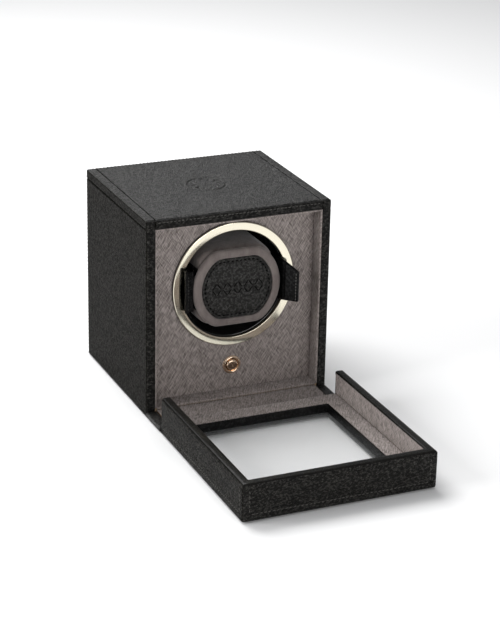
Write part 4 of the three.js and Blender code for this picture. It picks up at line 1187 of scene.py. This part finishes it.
def make_wings():
    """Two leaves of smooth leather: the right one flares out, the left one is tucked in and creased."""
    thick = 2.3
    half_tall = 15
    tip_round = 1.1  # how far from its end a leaf starts to thin
    # The lines are drawn for the left side, so the right one is mirrored.
    for sign, name, points in ((1, "left", TUCKED), (-1, "right", FLARED)):
        tucked = name == "left"
        line = wing_line(points)
        steps = np.hypot(*np.diff(line, axis=0).T)
        run = np.concatenate([[0], np.cumsum(steps)])
        total = run[-1]
        fine = np.linspace(0, total, 121)
        line = np.stack([np.interp(fine, run, line[:, c]) for c in (0, 1)], axis=1)
        run = fine
        normals = line_normals(line)
        rings = []
        for k, (x, y) in enumerate(line):
            flare = 0.0 if tucked else min(1.0, max(0.0, (8 - y) / 12))
            upper, lower = half_tall - 7.2 * flare**1.1, -half_tall + 1.2 * flare
            to_end = total - run[k]
            pinch = 1.0
            if to_end <= tip_round:
                pinch = math.sqrt(max(0.04, 1 - (1 - to_end / tip_round) ** 2))
            if tucked:
                crease = 0.42 * math.sin(run[k] * 2.0 + 0.7) * min(1.0, to_end / 2, run[k] / 12)
            else:
                crease = 0.16 * math.sin(run[k] * 2.2) * math.exp(-(((run[k] - 0.62 * total) / 5.5) ** 2))
            half = thick / 2
            corners = [(-half, lower), (half, lower), (half, upper), (-half, upper)]
            section = rounded(corners, 1.05, 4)
            ring = []
            for w, z in section:
                sway = crease * (0.7 + 0.3 * math.sin(z * 0.31 + run[k] * 0.8))
                w, z = w * pinch + sway, z * (1 - 0.05 * (1 - pinch))
                ring.append((sign * (x + normals[k][0] * w), FRONT + y + normals[k][1] * w, DRUM_Z + z))
            rings.append(ring)
        loft(f"wing_{name}_leather", rings, "wing_leather", f"{name}_wing", [f"wing_{name}"])
        places = []
        top_stitch = 12.0 if tucked else 6.6
        for face in (-1, 1):
            k = int(np.searchsorted(run, total - 1.9))
            base, out = line[k], normals[k] * face
            outward = np.array([sign * out[0], out[1], 0.0])
            for z in np.arange(-12.0, top_stitch, 2.25):
                point = np.array([sign * (base[0] + out[0] * thick / 2), FRONT + base[1] + out[1] * thick / 2,
                                  DRUM_Z + z])
                places.append((point, np.array([0.0, 0.0, 1.0]), outward))
        stitch_row(f"wing_{name}_stitches", places, f"{name}_wing", 1.7, 0.55, 0)


# ------------------------------------------------------------------ lid

WALL = 6.4  # width of the lid's rim
SEW_INSET = 4.8
LID_HEAD = LID_TOP - 0.1
BOTTOM_ROW = LID_FOOT + 3.7
TOP_ROW = LID_HEAD - 3.4
RIM_ROUND = 2.2
ROW_STEPS = (-1, -0.6, -0.3, 0, 0.3, 0.6, 1)  # places across a pressed row, in half widths


def band_outline():
    """The lid band's section as (inset from the outer face, height): up, over the rim, and back inside."""
    skin = 1.1
    points = [(0.3, LID_FOOT + 0.1), (0.08, LID_FOOT + 0.35)]
    for row, spread, depth in ((BOTTOM_ROW, 0.8, 0.2), (TOP_ROW, 0.7, 0.12)):
        for t in ROW_STEPS:
            points.append((depth * (0.5 + 0.5 * math.cos(math.pi * t)), row + spread * t))
        if row == BOTTOM_ROW:
            points += [(0, z) for z in np.linspace(BOTTOM_ROW + 2.5, TOP_ROW - 2.5, 6)]
    arc = LID_HEAD - RIM_ROUND
    for a in quarter(0, 7, 6):
        points.append((RIM_ROUND * (1 - math.cos(a)), arc + RIM_ROUND * math.sin(a)))
    points.append(((RIM_ROUND + WALL) / 2, LID_HEAD + 0.12))
    for a in quarter(0, 5, 4):
        points.append((WALL - 0.9 + 0.9 * math.sin(a), LID_HEAD - 0.9 + 0.9 * math.cos(a)))
    points += [(WALL, LID_HEAD - 2.2), (WALL - 0.8, LID_HEAD - 2.2), (WALL - 0.8, LID_HEAD - skin - 0.3)]
    points += [(skin + 0.6, LID_HEAD - skin - 0.3), (skin, LID_HEAD - skin - 1.5), (skin, LID_FOOT + 0.1)]
    return points


def make_lid_band():
    """One strip of leather round the three walls and over their rim, sewn along its lower edge."""
    corner = 1.5
    rows = [t * 0.8 for t in ROW_STEPS]
    side_run = LID_NEAR - LID_FAR - corner
    end_run = 2 * (HALF - corner)
    sew = SEW_INSET - corner
    side_marks = sorted([0.0, 0.12] + list(np.linspace(4, side_run - sew - 2.5, 22))
                        + [side_run - sew + r for r in rows] + [side_run])
    end_marks = sorted([0.0, end_run] + [sew + r for r in rows] + [end_run - sew + r for r in rows]
                       + list(np.linspace(sew + 3, end_run - sew - 3, 20)))
    outline = band_outline()

    def point(stretch, mark, inset, height):
        sewn = BOTTOM_ROW <= height <= TOP_ROW and inset < 0.6
        if stretch in ("left", "right"):
            if sewn:
                inset += float(groove_drop(mark - (side_run - sew), 0, 0.2, 0.8, -1, 1))
            y = LID_NEAR + (LID_FAR + max(corner, inset) - LID_NEAR) * mark / side_run
            return ((-1 if stretch == "left" else 1) * (HALF - inset), y, height)
        if stretch == "end":
            if sewn:
                inset += float(groove_drop(min(mark, end_run - mark) - sew, 0, 0.2, 0.8, -1, 1))
            half = HALF - max(corner, inset)
            return (half * (2 * mark / end_run - 1), LID_FAR + inset, height)
        bend = max(corner - inset, 0.0)
        centre_x = HALF - max(corner, inset)
        centre_y = LID_FAR + max(corner, inset)
        side = -1 if stretch == "near_corner" else 1
        a = math.radians(mark)
        return (side * (centre_x + bend * math.cos(a)), centre_y - bend * math.sin(a), height)

    stations = [("left", m) for m in side_marks] + [("near_corner", a) for a in (22.5, 45, 67.5)]
    stations += [("end", m) for m in end_marks] + [("far_corner", a) for a in (67.5, 45, 22.5)]
    stations += [("right", m) for m in reversed(side_marks)]
    rings = [[point(stretch, mark, inset, height) for inset, height in outline] for stretch, mark in stations]
    loft("lid_band_sewn", rings, "coarse_leather", "lid", ["lid_band_leather"], 35)

    near_row = LID_FAR + SEW_INSET
    sew_x = HALF - SEW_INSET
    rows = []
    for side, sign in SIDES:
        level = sign * HALF
        rows += straight_places(side, level, (near_row, BOTTOM_ROW + 1), (near_row, TOP_ROW - 1))
        rows += straight_places(side, level, (near_row + 1, BOTTOM_ROW), (LID_NEAR - 2, BOTTOM_ROW))
        rows += straight_places("front", LID_FAR, (sign * sew_x, BOTTOM_ROW + 1), (sign * sew_x, TOP_ROW - 1))
    rows += straight_places("front", LID_FAR, (-sew_x + 1, BOTTOM_ROW), (sew_x - 1, BOTTOM_ROW))
    stitch_row("lid_band_stitches", rows, "lid")

    outer, inner = HALF - 0.25, HALF - WALL + 0.1
    foot, head = LID_FOOT + 0.15, LID_HEAD - 0.25
    corners = [(outer, foot), (outer, head), (inner, head), (inner, foot)]
    shape = rounded(corners, [0.4, RIM_ROUND, 0.9, 0.4], 5)
    middle = shape.mean(axis=0)
    shrink = np.array([2 / WALL, 2 / (LID_HEAD - LID_FOOT)])
    for name, sign in SIDES:
        rings = []
        for inset, back in ((0, 1.2), (0, 0.45), (0.12, 0.15), (0.45, 0)):
            shrunk = middle + (shape - middle) * (1 - inset * shrink)
            rings.append([(sign * x, LID_NEAR - back, z) for x, z in shrunk])
        loft(f"lid_{name}_cap", rings, "black_leather", "lid")


def make_lid_face():
    """The outer face: leather round the window, with a stitched border."""
    hinge_end = LID_NEAR - 1.0
    low, high = (-HALF + 0.15, LID_FAR + 0.15), (HALF - 0.15, hinge_end)
    hole_low = (WINDOW_LOW[0] + 0.6, WINDOW_LOW[1] + 0.6)
    hole_high = (WINDOW_HIGH[0] - 0.6, WINDOW_HIGH[1] - 0.6)
    frame_ring("lid_face_skin", low, high, hole_low, hole_high, strip_stations(0.6, 0.6, 0.0, -0.95),
               "black_leather", "lid", replaces=["lid_face_leather"], plane="under", level=LID_UNDER)
    rows = []
    for (x0, y0), (x1, y1), away in ((hole_low, hole_high, 3.2), (low, high, -3.6)):
        x0, y0, x1, y1 = x0 - away, y0 - away, x1 + away, y1 + away
        corners = [(x0, y0), (x1, y0), (x1, y1), (x0, y1)]
        for k in range(4):
            rows += straight_places("under", LID_UNDER, corners[k], corners[(k + 1) % 4])
    stitch_row("lid_face_stitches", rows, "lid", 2.0, 0.42)


def make_lid_pad():
    """The padded frame round the window, and the leather that lines the cut edge below it."""
    low, high = pad_low[:2] + 0.1, pad_high[:2] - 0.1
    hole_low, hole_high = WINDOW_LOW[:2], WINDOW_HIGH[:2]
    jamb = 0.7
    pad = frame_ring("lid_pad", low, high, hole_low - jamb, hole_high + jamb,
                     strip_stations(0.9, 0.7, pad_high[2] - 0.15, pad_low[2], 0.15), "taupe_lining", "lid",
                     replaces=["lid_lining_frame"])
    glass_top = glass_high[2]
    jamb_top = pad_high[2] - 0.75
    stations = [(0, 0.15, jamb_top - 0.2), (0, 0, jamb_top - 0.5), (0, 0, glass_top + 0.1),
                (1, 0, glass_top + 0.1), (1, 0, jamb_top - 0.25), (1, 0.1, jamb_top - 0.05),
                (1, 0.3, jamb_top)]
    frame_ring("window_jamb", hole_low - jamb, hole_high + jamb, hole_low, hole_high, stations,
               "wing_leather", "lid", outer_corner=0.8, inner_corner=0.6)
    return pad


def make_lid_lining():
    """Cloth down the inside of the three walls, one panel for each wall."""
    low, high = box_mm("lid_lining_walls")
    thick = 1.1
    height = (low[2] + 0.05, high[2] - 0.05)
    for name, side, level, shown in (("left", "right", low[0] + thick, ["lid_lining_walls"]),
                                     ("right", "left", high[0] - thick, ())):
        panel(f"lid_lining_{name}", side, level, (low[1] + 0.1, high[1] - 0.1), height, thick - 0.1,
              "taupe_lining", "lid", edge=0.4, step=6, replaces=shown)
    panel("lid_lining_far", "back", low[1] + thick, (low[0] + thick, high[0] - thick), height, thick - 0.1,
          "taupe_lining", "lid", edge=0.4, step=6)


def make_window():
    """The pane, with a ground bevel round its upper edge."""
    low, high = glass_low[:2], glass_high[:2]
    top, under = glass_high[2], glass_low[2]
    stations = [(0.0, under + 0.2), (0.0, top - 0.8), (GLASS_LAP + 3.0, top)]
    rings = []
    for inset, height in [(0.2, under)] + stations:
        ring = corner_rect(low + inset, high - inset, 1.2, 3)
        rings.append(on_plane("top", 0.0, ring[:, 0], ring[:, 1], height))
    loft("window_pane", rings, "window_glass", "lid", ["lid_glass"], 20)


def make_lid_hinge():
    """Leather outside and cloth inside, each running from the ledge to the lid."""
    fold_y = LID_HINGE[1]

    def strip(name, half, line, thick, look, columns=9):
        line = np.array(line, float)
        normals = line_normals(line)
        skin = np.concatenate([line + normals * thick / 2, (line - normals * thick / 2)[::-1]])
        rings = [[(x, y, z) for y, z in skin] for x in np.linspace(-half, half, columns)]
        made = loft(name, rings, look, None)
        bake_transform(made)
        return made

    outside = [(fold_y + 2.5 - 0.4 * k, BASE + 0.10) for k in range(0, 22)]
    strip("hinge_leather", HALF - 0.6, outside, 0.5, "black_leather")

    low, high = box_mm("lining_bottom")
    half = high[0] - 0.2
    floor, ledge = high[2] - 0.3, LEDGE_TOP - 0.1
    corners = [
        (high[1], floor), (FRONT + 5.0, floor - 0.1), (FRONT + 0.9, floor - 0.45),
        (FRONT + 0.15, floor - 1.1), (FRONT + 1.7, ledge + 1.0), (FRONT + 1.2, ledge + 0.5),
        (FRONT - 2.5, ledge + 0.6),
        (FRONT - 12.0, ledge + 0.35), (low[1] + 2.0, ledge - 0.05), (fold_y + 0.8, ledge - 0.5),
        (fold_y - 1.6, ledge - 1.1), (LID_NEAR - 1.0, ledge - 1.2), (pad_high[1] + 0.15, ledge - 0.6),
        (pad_high[1] + 0.25, ledge + 2.5), (pad_high[1] + 0.2, pad_low[2] + 1.0),
    ]
    line = rounded(corners, [0, 3, 0.8, 0.35, 0.5, 0.5, 3, 3, 1, 1, 1, 1, 0.8, 1, 0], 3, closed=False)
    fine = [line[0]]
    for a, b in zip(line, line[1:]):
        pieces = max(1, int(np.linalg.norm(b - a) / 1.0))
        fine += [a + (b - a) * (k + 1) / pieces for k in range(pieces)]
    cloth = strip("case_to_lid_cloth", half, fine, 0.5, "taupe_lining", 25)
    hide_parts("lining_bottom")


# ------------------------------------------------------------------ rear


def screw_head(node):
    """A pan head with a cross recess, and its shank behind."""
    low, high = box_mm(node)
    x, z = (low[0] + high[0]) / 2, (low[2] + high[2]) / 2
    seat, crown = high[1] - 1.1, high[1]
    radius = (high[0] - low[0]) / 2
    half_slot, recess_r = 0.42, 1.75

    def ring(r, y, recess=0.0):
        points = []
        for a in np.linspace(0, 2 * math.pi, 48, endpoint=False):
            px, pz = r * math.sin(a), r * math.cos(a)
            arm = min(abs(px), abs(pz))
            cut = max(0.0, min(1.0, (half_slot - arm) / 0.12)) * max(0.0, min(1.0, (recess_r - r) / 0.25))
            points.append((x + px, y - recess * cut, z + pz))
        return points

    outline = ((1.4, low[1]), (1.5, low[1] + 0.8), (1.5, seat), (radius, seat), (radius, seat + 0.35),
               (radius * 0.9, seat + 0.8))
    rings = [ring(r, y) for r, y in outline]
    rings += [ring(r, crown - 0.02 * r * r, 0.7) for r in (2.1, 1.85, 1.65, 1.4, 1.1, 0.8, 0.5, 0.25)]
    loft(f"{node}_head", rings, "steel", "case", [node], 35)


def make_rear():
    """The plastic rear panel with its door, inlet and screws, and the leather turned over below it."""
    foot = box_mm("rear_panel")[0][2] - 0.05
    inside = HALF - RIM - 0.15
    panel("case_back_foot", "back", BACK - 0.2, (-inside, inside), (SIDE_FOOT, foot), 0.9,
          "coarse_leather", "case", edge=0.6, step=5)
    for node, bevel in (("rear_panel", 0.35), ("battery_door", 0.4), ("power_jack", 0.2)):
        keep_node(node, "matte_black_plastic", bevel)
    for level in ("lower", "upper"):
        for side in ("left", "right"):
            screw_head(f"rear_screw_{level}_{side}")


# ------------------------------------------------------------------ pieces inside, and the base


def make_inside():
    looks = {
        "board": ["bottom_board", "top_board", "left_board", "right_board", "front_panel", "rear_cleat_left",
                  "rear_cleat_right", "lid_wall_left", "lid_wall_right", "lid_wall_end"],
        "black_board": ["lid_face_board"],
        "steel": ["catch_plate", "motor", "contact_plate", "contact_spring", "magnet_left", "magnet_right",
                  "drum_shaft", "shaft_clip", "motor_shaft"],
        "matte_black_plastic": ["drive_frame", "tact_switch", "battery_tray"],
        "white_plastic": ["drum_pulley", "motor_pulley"],
        "bush_brass": ["bearing_bush"],
        "belt_rubber": ["drive_belt"],
        "circuit_board": ["control_board"],
    }
    for look, nodes in looks.items():
        for node in nodes:
            keep_node(node, look)
    low, high = box_mm("base_felt")
    panel("base_felt_sheet", "under", low[2], (low[0], high[0]), (low[1], high[1]), high[2] - low[2] - 0.02,
          "base_felt", "case", edge=0.3, replaces=["base_felt"])


# ------------------------------------------------------------------ camera, lights and floor

CAMERA_AZIMUTH = -23.79
CAMERA_ELEVATION = 21.81
CAMERA_ROLL = 1.18
CAMERA_DISTANCE = 1.3679
CAMERA_TARGET = Vector((0, FRONT * MM, 0.060))
CAMERA_SLIDE = (0.00757, 0.00687)  # across and up, in the picture's own plane
CAMERA_LENS = 116.8


def make_camera():
    a, e = math.radians(CAMERA_AZIMUTH), math.radians(CAMERA_ELEVATION)
    back = Vector((math.sin(a) * math.cos(e), -math.cos(a) * math.cos(e), math.sin(e)))
    right = Vector((0, 0, 1)).cross(back).normalized()
    up = back.cross(right)
    roll = math.radians(CAMERA_ROLL)
    right, up = right * math.cos(roll) + up * math.sin(roll), up * math.cos(roll) - right * math.sin(roll)
    camera = bpy.data.objects.new("camera", bpy.data.cameras.new("camera"))
    place = CAMERA_TARGET + back * CAMERA_DISTANCE + right * CAMERA_SLIDE[0] + up * CAMERA_SLIDE[1]
    camera.matrix_world = Matrix.Translation(place) @ Matrix((right, up, back)).transposed().to_4x4()
    camera.data.lens = CAMERA_LENS
    camera.data.clip_end = 20
    bpy.context.scene.collection.objects.link(camera)
    bpy.context.scene.camera = camera


def area_light(name, place, target, size, power, colour=(1, 1, 1)):
    data = bpy.data.lights.new(name, "AREA")
    data.shape = "RECTANGLE"
    data.size, data.size_y = size
    data.energy = power
    data.color = colour
    light = bpy.data.objects.new(name, data)
    light.location = place
    light.rotation_mode = "QUATERNION"
    light.rotation_quaternion = (Vector(target) - Vector(place)).to_track_quat("-Z", "Y")
    bpy.context.scene.collection.objects.link(light)


def make_stage():
    world = bpy.data.worlds.new("studio")
    world.use_nodes = True
    world.node_tree.nodes["Background"].inputs["Color"].default_value = (0.97, 0.98, 1.0, 1)
    world.node_tree.nodes["Background"].inputs["Strength"].default_value = 0.28
    bpy.context.scene.world = world
    middle = (0, 0, 0.06)  # the lights all point at the box's middle
    area_light("left_key", (-1.2, 0.1, 0.6), middle, (0.7, 0.6), 11)
    area_light("back_top_softbox", (-0.2, 0.75, 1.15), middle, (1.0, 0.8), 20)
    area_light("front_fill", (0.1, -1.5, 0.4), middle, (1.0, 0.6), 8.5)
    mesh = bpy.data.meshes.new("floor")
    reach = 6.0
    mesh.from_pydata([(-reach, -reach, 0), (reach, -reach, 0), (reach, reach, 0), (-reach, reach, 0)], [],
                     [(0, 1, 2, 3)])
    floor = bpy.data.objects.new("floor", mesh)
    paint = Graph("floor_paint")
    paint.set(Base_Color=(0.92, 0.92, 0.92, 1), Roughness=0.9, Specular_IOR_Level=0.1)
    mesh.materials.append(paint.material)
    bpy.context.scene.collection.objects.link(floor)
    bpy.context.scene.view_settings.view_transform = "Standard"


make_camera()
make_stage()
make_case_top()
make_case_sides()
make_edge_frame("front")
make_edge_frame("back")
make_recess()
make_ledge()
make_trim_ring()
make_button()
make_drum()
make_cuff_plate()
make_cuff_inset()
make_cuff_body()
make_cuff_cheeks()
make_wings()
make_gusset()
make_lid_band()
make_lid_face()
make_lid_lining()
make_lid_pad()
make_window()
make_lid_hinge()
make_rear()
make_inside()
